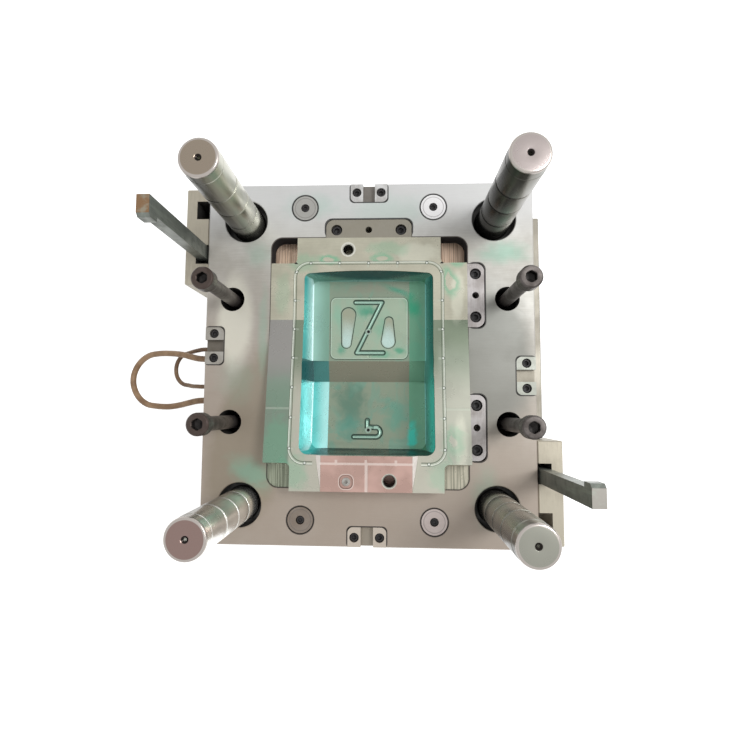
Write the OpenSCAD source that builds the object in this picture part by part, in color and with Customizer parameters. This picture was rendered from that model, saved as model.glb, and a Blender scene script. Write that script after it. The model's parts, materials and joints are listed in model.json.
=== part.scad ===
// Housing mould: the fixed (cavity) side of a three-plate injection mould for a shallow
// drafted housing, lying on the back of its clamp plate with the parting face up.
// X runs across the plates, Y along them, Z from the clamp plate's back to the parting face.
// The origin is the middle of the clamp plate's back.

/* [Plates] */
// Width of the cavity and runner plates, along X
plate_w = 500; // [490:2:520]
// Length of the cavity and runner plates, along Y
plate_l = 550; // [540:2:580]
// Width of the clamp plate, along X, with its clamping ledges
clamp_w = 550; // [546:2:570]
// Thickness of the clamp plate
clamp_t = 45; // [42:1:50]
// Thickness of the runner (stripper) plate
runner_t = 35; // [30:1:40]
// Thickness of the cavity plate
cavity_t = 120; // [115:1:130]
// Bevel on the plates' edges
plate_bevel = 1.5; // [1:0.5:2.5]

/* [Guide pillars] */
// Pillar diameter
pillar_d = 50; // [46:1:52]
// Pillar centre from the plate's flank, along X
pillar_in_x = 59; // [55:0.5:62]
// Pillar centre from the plate's end, along Y
pillar_in_y = 58; // [54:0.5:61]
// Height of the pillar's end above the parting face
pillar_rise = 223; // [215:1:235]
// Diameter of the pillar's flat end inside its rounded edge
pillar_end_d = 44; // [40:1:45]
// Length of the relieved lead-in below the rounded edge
lead_in_l = 17; // [12:1:22]
// Diameter taken off at the lead-in
lead_in_relief = 0.8; // [0.4:0.2:1.2]
// Diameter of the pillar's flange in the clamp plate
pillar_flange_d = 58; // [56:1:62]
// Height of that flange
pillar_flange_h = 12; // [8:1:16]
// Diameter of the guide bush and of its hole in the cavity plate
bush_d = 66; // [62:1:70]
// Depth from the parting face to the guide bush
bush_recess = 22; // [12:1:30]
// Flange diameter of the guide bush
bush_flange_d = 74; // [72:1:78]
// Flange height of the guide bush
bush_flange_h = 8; // [6:1:12]
// Outer diameter of the runner plate's bushes
runner_bush_d = 60; // [58:1:64]
// Spacing of the oil grooves on the pillars
oil_groove_pitch = 54; // [50:1:58]
// Width of an oil groove
oil_groove_w = 4; // [3:0.5:6]
// Depth of an oil groove
oil_groove_depth = 1.2; // [0.8:0.2:2]

/* [Stop bolts] */
// Stop bolt centre from the plate's flank
stop_in = 40.5; // [38:0.5:42]
// Stop bolt centre from the mould axis, along Y
stop_y = 94; // [90:0.5:97]
// Shank diameter
stop_shank_d = 20; // [16:1:22]
// Head diameter
stop_head_d = 30; // [28:1:34]
// Head height
stop_head_h = 20; // [16:1:24]
// Width across the flats of the hexagon socket in the head
stop_hex = 14; // [12:1:17]
// Height of the head's top above the parting face
stop_rise = 143; // [135:1:150]
// Diameter of the counterbore that the head sinks into
stop_bore_d = 37; // [36:0.5:40]
// Depth of that counterbore
stop_bore_depth = 60; // [50:1:70]
// Length of the bolt's thread in the runner plate
stop_thread_l = 28; // [20:1:29]
// Diameter of the bolt's thread
stop_thread_d = 16; // [14:1:16]

/* [Latch bars and blocks] */
// Thickness of a latch block, along X
block_t = 36.5; // [34:0.5:40]
// Length of a latch block, along Y
block_l = 152; // [150:1:160]
// Height of a latch block
block_h = 110; // [100:1:114]
// Distance from the plate's end to the far end of a block
block_in = 5.5; // [4:0.5:8]
// Corner bevel of a latch block
block_bevel = 3; // [2:0.5:5]
// Depth of the block's two slots, along X
slot_depth = 20; // [19.5:0.5:21]
// Length of the slot that a latch bar runs in, along Y
slot_l = 30; // [29.5:0.5:32]
// Centre of that slot from the block's near end, along Y
slot_in = 48; // [46.5:0.5:49.5]
// Length of the empty slot
spare_slot_l = 28.5; // [26:0.5:30]
// Centre of the empty slot from the block's near end, along Y
spare_slot_in = 118.5; // [116.5:0.5:120.5]
// Thickness of a latch bar, along X
bar_t = 16; // [14:0.5:16.5]
// Width of a latch bar's shank, along Y
bar_w = 21; // [19:0.5:22]
// How far the hook stands out from the shank, along Y
hook_out = 6; // [4:0.5:6.5]
// Height of the hook
hook_h = 24; // [20:1:30]
// Height of the bar's end above the parting face
bar_rise = 209; // [200:1:216]
// Bevel on the hook's leading corner
hook_bevel = 5; // [3:0.5:6]
// Gap between the plates' flank and a bar
bar_gap = 2.5; // [2:0.5:3]

/* [Cavity insert] */
// Width of the insert, along X
insert_w = 300; // [296:1:301]
// Length of the insert, along Y
insert_l = 380; // [378:1:384]
// Depth of the insert below the parting face
insert_depth = 90; // [86:1:94]
// Radius of the insert's upright corners
insert_r = 17; // [14:1:20]
// Length of the flat part of the parting surface, from the insert's upper end
flat_l = 128; // [120:1:140]
// Angle of the rising part of the parting surface
rise_angle = 8.8; // [8:0.1:9.5]
// Side of the interlock recess in each corner
recess_side = 40; // [36:0.5:42]
// Depth of the upper recesses below the parting face
recess_depth = 32; // [26:1:38]
// Depth of the lower recesses below the parting face
low_recess_depth = 2; // [1:0.5:5]
// Draft of the recess walls
recess_draft = 8; // [5:0.5:10]
// Radius of the recesses' inner corner
recess_r = 7; // [5:0.5:9]

/* [Cavity] */
// Half width of the cavity at its rim
rim_half_w = 98.5; // [96:0.5:100]
// Half width of the cavity at its floor
floor_half_w = 89; // [86:0.5:91]
// Upper end of the rim from the mould axis, along Y
rim_top_y = 138.5; // [136:0.5:140]
// Lower end of the rim from the mould axis, along Y
rim_low_y = 139; // [137:0.5:141]
// Inset of the floor from the rim at the two ends
end_inset = 4; // [3:0.5:5]
// Corner radius at the rim's upper end
rim_top_r = 9; // [8:0.5:12]
// Corner radius at the rim's lower end
rim_low_r = 13; // [10:0.5:16]
// Arch of the rim's upper edge over its width
rim_arch = 4.5; // [3:0.5:6]
// Depth of the upper floor below the parting face
floor_depth = 44; // [40:1:46]
// Where the ramp starts, from the mould axis along Y
ramp_y = 2.5; // [0:0.5:4]
// Length of the ramp
ramp_l = 32; // [28:1:36]
// Drop of the ramp to the lower floor
ramp_drop = 13; // [10:1:14]
// Width of the sloped band along each side of the floor
band_w = 25; // [22:1:28]
// Rise of that band to the wall
band_rise = 4.5; // [3:0.5:6]

/* [Floor details] */
// Width of the raised pad on the upper floor
pad_w = 123; // [118:1:126]
// Length of the raised pad
pad_l = 99; // [96:1:101]
// Centre of the pad from the mould axis, along Y
pad_y = 55.5; // [54:0.5:57]
// Height of the pad
pad_h = 1.5; // [1:0.25:2]
// Corner radius of the pad
pad_r = 9; // [7:0.5:12]
// Width of the runner grooves in the floor
groove_w = 7; // [6:0.5:8]
// Depth of the runner grooves in the floor
groove_depth = 3; // [2:0.5:3.5]
// Half the length of the crossbars of the zigzag groove
zigzag_half = 20.5; // [18:0.5:22]
// Centre of the zigzag groove's upper crossbar, along Y
zigzag_top_y = 97; // [95:0.5:98]
// Centre of the zigzag groove's lower crossbar, along Y
zigzag_low_y = 16; // [14:0.5:18]
// Depth of the two shallow pockets in the pad
dish_depth = 2; // [1.5:0.25:3]

/* [Venting] */
// Distance from the cavity's rim to the vent groove, along X
vent_gap_x = 12; // [11:0.5:13]
// Distance from the cavity's rim to the vent groove, along Y
vent_gap_y = 10; // [9:0.5:11]
// Width of the vent groove
vent_w = 3.5; // [3:0.25:4.5]
// Depth of the vent groove and its slots
vent_depth = 0.8; // [0.6:0.1:1.2]
// Width of a vent slot
vent_slot_w = 4; // [3:0.5:5]
// Length of a vent slot from the groove towards the cavity
vent_slot_l = 5.5; // [4:0.5:6]
// Spacing of the vent slots
vent_pitch = 44.5; // [42:0.5:46]

/* [Shelf] */
// Half width of the flat shelf at the insert's lower end
shelf_half_w = 65; // [62:0.5:68]
// Angle of the shelf's sloped sides from upright
shelf_flare = 48; // [40:1:52]
// Width of the exhaust channel down the middle of the shelf
shelf_channel_w = 4.5; // [3.5:0.5:6]
// Side of the rounded pocket round the shelf pin
pin_pocket = 18.5; // [17:0.5:20]
// Depth of that pocket
pin_pocket_depth = 2.5; // [2:0.5:4]
// Diameter of the shelf pin
shelf_pin_d = 12; // [10:0.5:13]

/* [Wedges] */
// Length of the upper wedge
wedge_top_l = 133; // [130:1:136]
// Width of the upper wedge
wedge_top_w = 29; // [27:0.5:30]
// Length of a side wedge
wedge_side_l = 99; // [96:1:102]
// Width of a side wedge
wedge_side_w = 26; // [24:0.5:28]
// Centre of the side wedges from the mould axis, along Y
wedge_side_y = 99.5; // [98:0.5:101]
// Depth of the wedges
wedge_depth = 45; // [42:1:48]
// Gap round a wedge
wedge_gap = 0.8; // [0.5:0.1:1.2]
// Outer corner radius of a wedge
wedge_r = 12; // [10:0.5:13]
// Spacing of the upper wedge's screws
wedge_top_pitch = 99; // [96:0.5:102]
// Spacing of a side wedge's screws
wedge_side_pitch = 66; // [64:0.5:68]
// Diameter of the jacking hole in the middle of a wedge
jack_hole_d = 10.2; // [9:0.2:11]

/* [Side locks] */
// Width of a side lock
lock_w = 57; // [55:0.5:58]
// Depth of a side lock from the plate's edge
lock_l = 28.5; // [27:0.5:30]
// Height of a side lock
lock_h = 40; // [36:1:44]
// Width of the slot between the lock's cheeks
lock_slot_w = 18.2; // [17:0.2:19]
// Depth of that slot
lock_slot_depth = 10; // [8:0.5:14]
// Inner corner radius of a side lock
lock_r = 8; // [6:0.5:9]
// Offset of the two long-side locks from the middle, along Y
lock_offset = 22; // [20:0.5:23]
// Spacing of the lock's two screws
lock_pitch = 37.5; // [36:0.5:38.5]
// Screw centre from the plate's edge
lock_screw_in = 13.5; // [12:0.5:15]

/* [Stop pads] */
// Diameter of a stop pad
stop_pad_d = 38; // [36:0.5:39]
// Thickness of a stop pad
stop_pad_t = 10; // [8:1:12]
// Gap round a stop pad
stop_pad_gap = 1.2; // [0.8:0.1:1.5]
// Stop pad centre from the mould axis, along X
stop_pad_x = 99; // [97:0.5:101]
// Stop pad centre from the plate's end
stop_pad_in = 37.5; // [36:0.5:40]

/* [Cooling] */
// Depth of the water channels below the parting face
water_depth = 75; // [72:1:78]
// Diameter of a water channel
water_d = 8; // [6:0.5:9]
// Outer diameter of the long hose
long_hose_d = 10; // [8:0.5:10]
// Outer diameter of the short hose
short_hose_d = 7; // [6:0.5:7.5]
// How far a hose nipple stands out from the flank
nipple_out = 14; // [10:1:16]
// Width of the water manifold on the flank, along X
manifold_t = 20; // [18:0.5:24]
// Length of the water manifold, along Y
manifold_l = 350; // [340:2:352]
// Height of the water manifold
manifold_h = 58; // [50:1:60]
// Depth from the parting face to the manifold's top
manifold_drop = 45; // [40:1:46]

/* [Feed] */
// Diameter of the locating ring in the clamp plate's back
ring_d = 100; // [98:1:110]
// Thickness of the locating ring
ring_t = 15; // [12:1:16]
// Diameter of the sprue bush's shank
sprue_d = 30; // [26:1:34]
// Diameter of the sprue bush's head
sprue_head_d = 56; // [50:1:60]
// Height of the sprue bush's head
sprue_head_h = 12; // [10:1:14]
// Small diameter of the sprue
sprue_hole_d = 4; // [3:0.5:5]
// Stroke of the runner plate
runner_stroke = 8; // [6:1:10]

/* [Screws] */
// Thread diameter of the screws in wedges and latch bars
screw_m = 10; // [9:0.5:10]
// Thread diameter of the screws in side locks and stop pads
small_screw_m = 8; // [7:0.5:8]
// Thread diameter of the screws in latch blocks, manifold and insert
big_screw_m = 12; // [10:0.5:12]

/* [Hidden] */
$fn = 64;

// Clearance between pieces that fit in each other
fit = 0.05;
// Clearance of a plain screw or bolt hole round its shank
hole_gap = 0.5;
// Overlap that a cut needs past a face
cut = 1;

// Heights, counted from the clamp plate's back
runner_z = clamp_t;
cavity_z = runner_z + runner_t;
face_z = cavity_z + cavity_t;

// Places that follow the plates' edges
pillar_x = plate_w / 2 - pillar_in_x;
pillar_y = plate_l / 2 - pillar_in_y;
stop_x = plate_w / 2 - stop_in;
stop_pad_y = plate_l / 2 - stop_pad_in;
block_y = plate_l / 2 - block_in - block_l;
slot_y = block_y + slot_in;
spare_slot_y = block_y + spare_slot_in;

// Parting surface of the insert: flat, then rising towards the lower end
rise_y = insert_l / 2 - flat_l;
shelf_lip = 0.3;
shelf_z = (insert_l / 2 + rise_y) * tan(rise_angle) + shelf_lip;
function surface_z(y) = y > rise_y ? 0 : (rise_y - y) * tan(rise_angle);

// Floor of the cavity: flat, a ramp down, then parallel to the parting surface
ramp_end_y = ramp_y - ramp_l;
function floor_z(y) = y > ramp_y ? -floor_depth
    : y > ramp_end_y ? -floor_depth - ramp_drop * (ramp_y - y) / ramp_l
    : -floor_depth - ramp_drop + (ramp_end_y - y) * tan(rise_angle);

// Places of the corner pieces: upper left, upper right, lower left, lower right
corners = [[-1, 1], [1, 1], [-1, -1], [1, -1]];

// Places of the details on the insert
guide_bush_at = [-31.5, insert_l / 2 - 18.5];
guide_bush_od = 23;
guide_bush_bore = 15.5;
guide_bush_l = 30;
shelf_bush_at = [32.5, 15.5 - insert_l / 2];
shelf_bush_od = 21.5;
shelf_bush_bore = 16.5;
shelf_bush_l = 40;
shelf_pin_at = [-28.5, 14 - insert_l / 2];
shelf_pin_l = 40;
gate_upper_at = [-1, 50];
gate_lower_at = [-0.5, -106];
gate_bush_d = 10;
gate_flange_d = 16;
gate_flange_h = 6;
gate_hole_d = 3;
gate_taper = 0.8;
gate_drop_d = 6;
runner_groove_w = 8;
runner_groove_depth = 6;

// Screw heads: diameter and height for a thread diameter
function head_d(m) = 1.5 * m + 1;
function head_h(m) = m;
function hex_of(m) = 0.75 * m + 0.5;

// Rectangle with four round corners, centred
module round_rect(w, l, r) {
    square([w - 2 * r, l], center = true);
    square([w, l - 2 * r], center = true);
    for (c = corners) translate([c.x * (w / 2 - r), c.y * (l / 2 - r)]) circle(r);
}

// Rectangle that starts at y = 0, with round corners at its far side
module edge_rect(w, l, r) {
    translate([-w / 2, 0]) square([w, l - r]);
    translate([-w / 2 + r, 0]) square([w - 2 * r, l]);
    for (s = [-1, 1]) translate([s * (w / 2 - r), l - r]) circle(r);
}

// Rectangle with four bevelled corners, centred
module bevel_rect(w, l, c) {
    polygon([[-w / 2 + c, -l / 2], [w / 2 - c, -l / 2], [w / 2, -l / 2 + c],
        [w / 2, l / 2 - c], [w / 2 - c, l / 2], [-w / 2 + c, l / 2],
        [-w / 2, l / 2 - c], [-w / 2, -l / 2 + c]]);
}

// Extrudes a drawing of (Y, Z) along X, or of (X, Z) along Y, centred
module along_x(w) rotate([90, 0, 90]) linear_extrude(w, center = true) children();
module along_y(l) rotate([90, 0, 0]) linear_extrude(l, center = true) children();

// Block with all its edges bevelled, standing on z = 0
module bevel_block(w, l, h, c) {
    intersection() {
        linear_extrude(h) bevel_rect(w, l, c);
        translate([0, 0, h / 2]) along_x(w + 2 * cut) bevel_rect(l, h, c);
        translate([0, 0, h / 2]) along_y(l + 2 * cut) bevel_rect(w, h, c);
    }
}

// Upright bore from z0 to z1
module bore(d, z0, z1) translate([0, 0, z0]) cylinder(h = z1 - z0, d = d);

// Slot outline with round ends between two points, of two radii
module taper_slot(a, ra, b, rb) {
    hull() {
        translate(a) circle(ra, $fn = 48);
        translate(b) circle(rb, $fn = 48);
    }
}

// Socket head screw, its head's top at z = 0 and its shank pointing down
module cap_screw(m, l) {
    difference() {
        union() {
            translate([0, 0, -head_h(m)]) cylinder(h = head_h(m), d = head_d(m));
            translate([0, 0, -head_h(m) - l]) cylinder(h = l + cut / 2, d = m);
        }
        translate([0, 0, -head_h(m) / 2]) cylinder(h = head_h(m), d = hex_of(m) / cos(30), $fn = 6);
    }
}

// Hole for such a screw: counterbore and shank hole, the head sunk below z = 0
module cap_screw_hole(m, l, sunk) {
    bore(head_d(m) + 2 * hole_gap, -head_h(m) - sunk, cut);
    bore(m + 2 * fit, -head_h(m) - sunk - l - hole_gap, -head_h(m) - sunk + cut);
}

// Guide pillar: flange, shank, oil grooves, relieved lead-in and a rounded end
pillar_top = face_z + pillar_rise;
pillar_edge = (pillar_d - pillar_end_d) / 2;
module guide_pillar() {
    r = pillar_d / 2;
    color([0.47, 0.46, 0.43]) difference() {
        rotate_extrude() {
            square([pillar_flange_d / 2, pillar_flange_h]);
            square([r, face_z + pillar_rise - pillar_edge - lead_in_l]);
            square([r - lead_in_relief / 2, pillar_top - pillar_edge]);
            square([pillar_end_d / 2 - lead_in_relief / 2, pillar_top]);
            translate([pillar_end_d / 2 - lead_in_relief / 2, pillar_top - pillar_edge])
                circle(pillar_edge);
        }
        for (i = [0 : 2])
            translate([0, 0, face_z + 36 + i * oil_groove_pitch])
                rotate_extrude() translate([r - oil_groove_depth, 0])
                    square([cut + oil_groove_depth, oil_groove_w]);
        bore(5, pillar_top - 10, pillar_top + cut);
        translate([0, 0, pillar_top - 2]) cylinder(h = 2 + cut / 2, r1 = 2, r2 = 5);
    }
}

module at_pillar(c) translate([c.x * pillar_x, c.y * pillar_y, 0]) children();

// Bush in the runner plate
module runner_bush() {
    color([0.62, 0.6, 0.55]) difference() {
        bore(runner_bush_d, runner_z, cavity_z);
        bore(pillar_d + 2 * fit, runner_z - cut, cavity_z + cut);
    }
}

// Flanged guide bush in the cavity plate, recessed below the parting face
module guide_bush() {
    top = face_z - bush_recess;
    color([0.5, 0.48, 0.44]) difference() {
        union() {
            bore(bush_flange_d, cavity_z, cavity_z + bush_flange_h);
            bore(bush_d, cavity_z, top);
        }
        bore(pillar_d + 2 * fit, cavity_z - cut, top + cut);
        translate([0, 0, top - 2]) cylinder(h = 2 + cut, d1 = pillar_d, d2 = pillar_d + 6);
    }
}

// Stop bolt: screwed into the runner plate, its head above the cavity plate
module stop_bolt() {
    top = face_z + stop_rise;
    color([0.36, 0.33, 0.32]) difference() {
        union() {
            bore(stop_thread_d, cavity_z - stop_thread_l, cavity_z + cut);
            bore(stop_shank_d, cavity_z, top - stop_head_h + cut);
            bore(stop_head_d, top - stop_head_h, top);
        }
        translate([0, 0, top - stop_head_h / 2])
            cylinder(h = stop_head_h, d = stop_hex / cos(30), $fn = 6);
        difference() {
            bore(stop_head_d + cut, top - 2, top + cut);
            translate([0, 0, top - 2]) cylinder(h = 2, d1 = stop_head_d, d2 = stop_head_d - 4);
        }
    }
}

module at_stop(c) translate([c.x * stop_x, c.y * stop_y, 0]) children();

// Latch bar on the left flank: foot in the clamp plate's notch, hook at its upper end
foot_z = 5;
bar_x = -(plate_w / 2 + bar_gap + bar_t / 2);
bar_low_y = slot_y + slot_l / 2 - 1.2 - bar_w;
bar_foot_y = bar_low_y + bar_w / 2;
bar_screw_z = [13, 33];
module latch_bar() {
    top = face_z + bar_rise;
    y0 = bar_low_y;
    y1 = bar_low_y + bar_w;
    color([0.36, 0.37, 0.34]) difference() {
        translate([bar_x, 0, 0]) along_x(bar_t) polygon([[y0, foot_z], [y1, foot_z], [y1, top],
            [y0 - hook_out + hook_bevel, top], [y0 - hook_out, top - hook_bevel],
            [y0 - hook_out, top - hook_h], [y0, top - hook_h]]);
        for (z = bar_screw_z) translate([bar_x - bar_t / 2, bar_foot_y, z])
            rotate([0, -90, 0]) cap_screw_hole(screw_m, bar_t, 0);
    }
}

// Latch block on the left flank, with the running slot and the empty slot
block_x = -(plate_w + block_t) / 2;
block_screw_y = [block_y + 14, spare_slot_y - 35, block_y + block_l - 10];
block_screw_z = [25, 85];
module latch_block() {
    z0 = face_z - 1 - block_h;
    color([0.72, 0.69, 0.63]) difference() {
        translate([block_x, block_y + block_l / 2, z0]) bevel_block(block_t, block_l, block_h, block_bevel / 2);
        for (s = [[slot_y, slot_l], [spare_slot_y, spare_slot_l]])
            translate([-plate_w / 2 - slot_depth, s[0] - s[1] / 2, z0 - cut])
                cube([slot_depth + cut, s[1], block_h + 2 * cut]);
        at_block_screws() cap_screw_hole(big_screw_m, block_t, 2);
    }
}

module at_block_screws() {
    for (y = [block_screw_y[0], block_screw_y[1]], z = block_screw_z)
        translate([-plate_w / 2 - block_t, y, face_z - 1 - block_h + z])
            rotate([0, -90, 0]) children();
}

// Turns a piece of the left flank half a turn about the mould axis, onto the right flank
module opposite() rotate([0, 0, 180]) children();

// Clamp plate with its ledges, ring seat, pillar holes and latch bar notches
limit_in_x = 100;
limit_in_y = 30;
limit_at = [plate_w / 2 - limit_in_x, plate_l / 2 - limit_in_y];
limit_shank_d = 16;
limit_head_d = 24;
limit_head_h = 12;
limit_head_z = 5;
module clamp_plate() {
    color([0.66, 0.65, 0.62]) difference() {
        bevel_block(clamp_w, plate_l, clamp_t, plate_bevel);
        for (c = corners) {
            at_pillar(c) {
                bore(pillar_d + 2 * fit, -cut, clamp_t + cut);
                bore(pillar_flange_d + 2 * hole_gap, -cut, pillar_flange_h);
            }
            translate([c.x * limit_at.x, c.y * limit_at.y, 0]) {
                bore(limit_shank_d + 2 * hole_gap, -cut, clamp_t + cut);
                bore(limit_head_d + 2 * hole_gap, -cut, limit_head_z + limit_head_h + runner_stroke);
            }
        }
        bore(ring_d + 2 * fit, -cut, ring_t);
        bore(sprue_head_d + 2 * fit, ring_t - cut, ring_t + sprue_head_h);
        bore(sprue_d + 2 * fit, ring_t, clamp_t + cut);
        at_ring_screws() bore(small_screw_m / 2 + 3, ring_t - cut, ring_t + 16);
        for (g = [gate_upper_at, gate_lower_at]) translate(g) {
            bore(lock_pin_d + 2 * fit, lock_pin_z, clamp_t + cut);
            bore(lock_pin_head_d + 2 * fit, lock_pin_z - cut, lock_pin_z + lock_pin_head_h);
            bore(lock_pin_head_d + 4, -cut, lock_pin_z);
        }
        for (a = [0, 180]) rotate([0, 0, a]) {
            translate([-clamp_w / 2 - cut, bar_low_y - hole_gap, -cut])
                cube([(clamp_w - plate_w) / 2 - bar_gap + cut, bar_w + 2 * hole_gap, clamp_t + 2 * cut]);
            for (z = bar_screw_z) translate([bar_x, bar_foot_y, z])
                rotate([0, 90, 0]) bore(screw_m + 2 * fit, 0, bar_screw_l);
        }
    }
}

ring_screw_r = 40;
ring_screw_l = 14;
module at_ring_screws() for (a = [45 : 90 : 315]) rotate([0, 0, a]) translate([ring_screw_r, 0, 0]) children();

// Locating ring, flush in the clamp plate's back
module locating_ring() {
    color([0.55, 0.53, 0.5]) difference() {
        bore(ring_d, 0, ring_t);
        bore(sprue_head_d - 20, -cut, ring_t + cut);
        translate([0, 0, -cut]) cylinder(h = 6 + cut, d1 = sprue_head_d, d2 = sprue_head_d - 20);
        at_ring_screws() {
            bore(7, -cut, ring_t + cut);
            bore(head_d(6) + 2 * hole_gap, -cut, 6.5);
        }
    }
}

module locating_ring_screws() {
    color([0.22, 0.22, 0.23]) at_ring_screws()
        translate([0, 0, 0.4]) mirror([0, 0, 1]) cap_screw(6, ring_screw_l);
}

// Sprue bush with its spherical seat and tapered sprue
module sprue_bush() {
    color([0.6, 0.58, 0.54]) difference() {
        union() {
            bore(sprue_head_d, ring_t, ring_t + sprue_head_h);
            bore(sprue_d, ring_t, cavity_z - 1);
        }
        translate([0, 0, ring_t - cut])
            cylinder(h = cavity_z - ring_t + 2 * cut, d1 = sprue_hole_d, d2 = sprue_hole_d + 3.5);
        translate([0, 0, ring_t - 9]) sphere(r = 14);
    }
}

// Pins that hold the runner back until the runner plate strips it
lock_pin_d = 6;
lock_pin_head_d = 10;
lock_pin_head_h = 4;
lock_pin_z = 18;
module runner_lock_pins() {
    top = cavity_z + runner_groove_depth / 2;
    color([0.6, 0.59, 0.57]) for (g = [gate_upper_at, gate_lower_at]) translate(g) rotate_extrude() {
        translate([0, lock_pin_z]) square([lock_pin_head_d / 2, lock_pin_head_h]);
        translate([0, lock_pin_z]) square([lock_pin_d / 2, cavity_z - lock_pin_z]);
        polygon([[0, cavity_z - cut], [lock_pin_d / 2 - 1, cavity_z - cut], [lock_pin_d / 2 - 1, cavity_z],
            [lock_pin_d / 2 - 0.2, top], [0, top]]);
    }
}

// Runner plate
module runner_plate() {
    color([0.68, 0.67, 0.64]) difference() {
        translate([0, 0, runner_z]) bevel_block(plate_w, plate_l, runner_t, plate_bevel);
        for (c = corners) {
            at_pillar(c) bore(runner_bush_d + 2 * fit, runner_z - cut, cavity_z + cut);
            at_stop(c) bore(stop_thread_d + 2 * fit, cavity_z - stop_thread_l - 2, cavity_z + cut);
            translate([c.x * limit_at.x, c.y * limit_at.y, 0])
                bore(limit_thread_d + 2 * fit, runner_z - cut, runner_z + limit_thread_l + 2);
        }
        bore(sprue_d + 2 * hole_gap, runner_z - cut, cavity_z + cut);
        for (g = [gate_upper_at, gate_lower_at]) translate(g)
            bore(lock_pin_d + 2 * fit, runner_z - cut, cavity_z + cut);
    }
}

limit_thread_d = 12;
limit_thread_l = 22;
module runner_limit_bolts() {
    color([0.22, 0.22, 0.23]) for (c = corners) translate([c.x * limit_at.x, c.y * limit_at.y, 0]) difference() {
        union() {
            bore(limit_head_d, limit_head_z, limit_head_z + limit_head_h);
            bore(limit_shank_d, limit_head_z, runner_z);
            bore(limit_thread_d, runner_z - cut, runner_z + limit_thread_l);
        }
        translate([0, 0, limit_head_z - cut]) cylinder(h = 6 + cut, d = 10 / cos(30), $fn = 6);
    }
}

// Latch bar screws, from the outside of the bars into the clamp plate
bar_screw_l = 34;
module latch_bar_screws() {
    color([0.22, 0.22, 0.23]) for (a = [0, 180]) rotate([0, 0, a]) for (z = bar_screw_z)
        translate([bar_x - bar_t / 2, bar_foot_y, z]) rotate([0, -90, 0])
            cap_screw(screw_m, bar_screw_l - bar_t / 2 - head_h(screw_m) + 6);
}

// Wedges press the insert against the far walls of its pocket
module at_wedge_top() translate([0, insert_l / 2, face_z]) children();
module at_wedge_side(s) translate([insert_w / 2, s * wedge_side_y, face_z]) rotate([0, 0, -90]) children();
module wedge(l, w, pitch) {
    color([0.72, 0.71, 0.7]) difference() {
        translate([0, 0, -wedge_depth]) linear_extrude(wedge_depth)
            translate([0, fit]) edge_rect(l - 2 * wedge_gap, w - wedge_gap - fit, wedge_r);
        for (s = [-1, 1]) translate([s * pitch / 2, wedge_screw_y, 0])
            cap_screw_hole(screw_m, wedge_depth, 4);
        translate([0, wedge_screw_y, 0]) bore(jack_hole_d, -wedge_depth - cut, cut);
    }
}
wedge_screw_y = 12.2;
module wedge_pocket(l, w, pitch) {
    translate([0, 0, -wedge_depth]) linear_extrude(wedge_depth + cut)
        translate([0, -cut]) edge_rect(l, w + cut, wedge_r - 3);
    for (s = [-1, 1]) translate([s * pitch / 2, wedge_screw_y, 0])
        bore(screw_m + 2 * fit, wedge_screw_end - 2, cut);
}
wedge_screw_end = -63;
module wedge_screws() {
    l = -wedge_screw_end - 4 - head_h(screw_m);
    color([0.14, 0.14, 0.15]) {
        at_wedge_top() for (s = [-1, 1])
            translate([s * wedge_top_pitch / 2, wedge_screw_y, -4]) cap_screw(screw_m, l);
        for (k = [-1, 1]) at_wedge_side(k) for (s = [-1, 1])
            translate([s * wedge_side_pitch / 2, wedge_screw_y, -4]) cap_screw(screw_m, l);
    }
}

// Side locks: U-shaped blocks let into the plate's edges, two screws each
module at_lock_top() translate([0, plate_l / 2, face_z]) rotate([0, 0, 180]) children();
module at_lock_bottom() translate([0, -plate_l / 2, face_z]) children();
module at_lock_left() translate([-plate_w / 2, lock_offset, face_z]) rotate([0, 0, -90]) children();
module at_lock_right() translate([plate_w / 2, -lock_offset, face_z]) rotate([0, 0, 90]) children();
module side_lock() {
    color([0.66, 0.65, 0.63]) difference() {
        translate([0, 0, -lock_h]) linear_extrude(lock_h)
            edge_rect(lock_w - 2 * fit, lock_l - fit, lock_r);
        translate([-lock_slot_w / 2, -cut, -lock_slot_depth])
            cube([lock_slot_w, lock_l + 2 * cut, lock_slot_depth + cut]);
        for (s = [-1, 1]) translate([s * lock_pitch / 2, lock_screw_in, 0])
            cap_screw_hole(small_screw_m, lock_h, 3);
    }
}
module lock_pocket() {
    translate([0, 0, -lock_h]) linear_extrude(lock_h + cut)
        translate([0, -cut]) edge_rect(lock_w, lock_l + cut, lock_r - 3);
    for (s = [-1, 1]) translate([s * lock_pitch / 2, lock_screw_in, 0])
        bore(small_screw_m + 2 * fit, lock_screw_end - 2, cut);
}
lock_screw_end = -58;
module lock_screw_pair() {
    for (s = [-1, 1]) translate([s * lock_pitch / 2, lock_screw_in, -3])
        cap_screw(small_screw_m, -lock_screw_end - 3 - head_h(small_screw_m));
}
module side_lock_screws() {
    color([0.14, 0.14, 0.15]) {
        at_lock_top() lock_screw_pair();
        at_lock_bottom() lock_screw_pair();
        at_lock_left() lock_screw_pair();
        at_lock_right() lock_screw_pair();
    }
}

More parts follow.
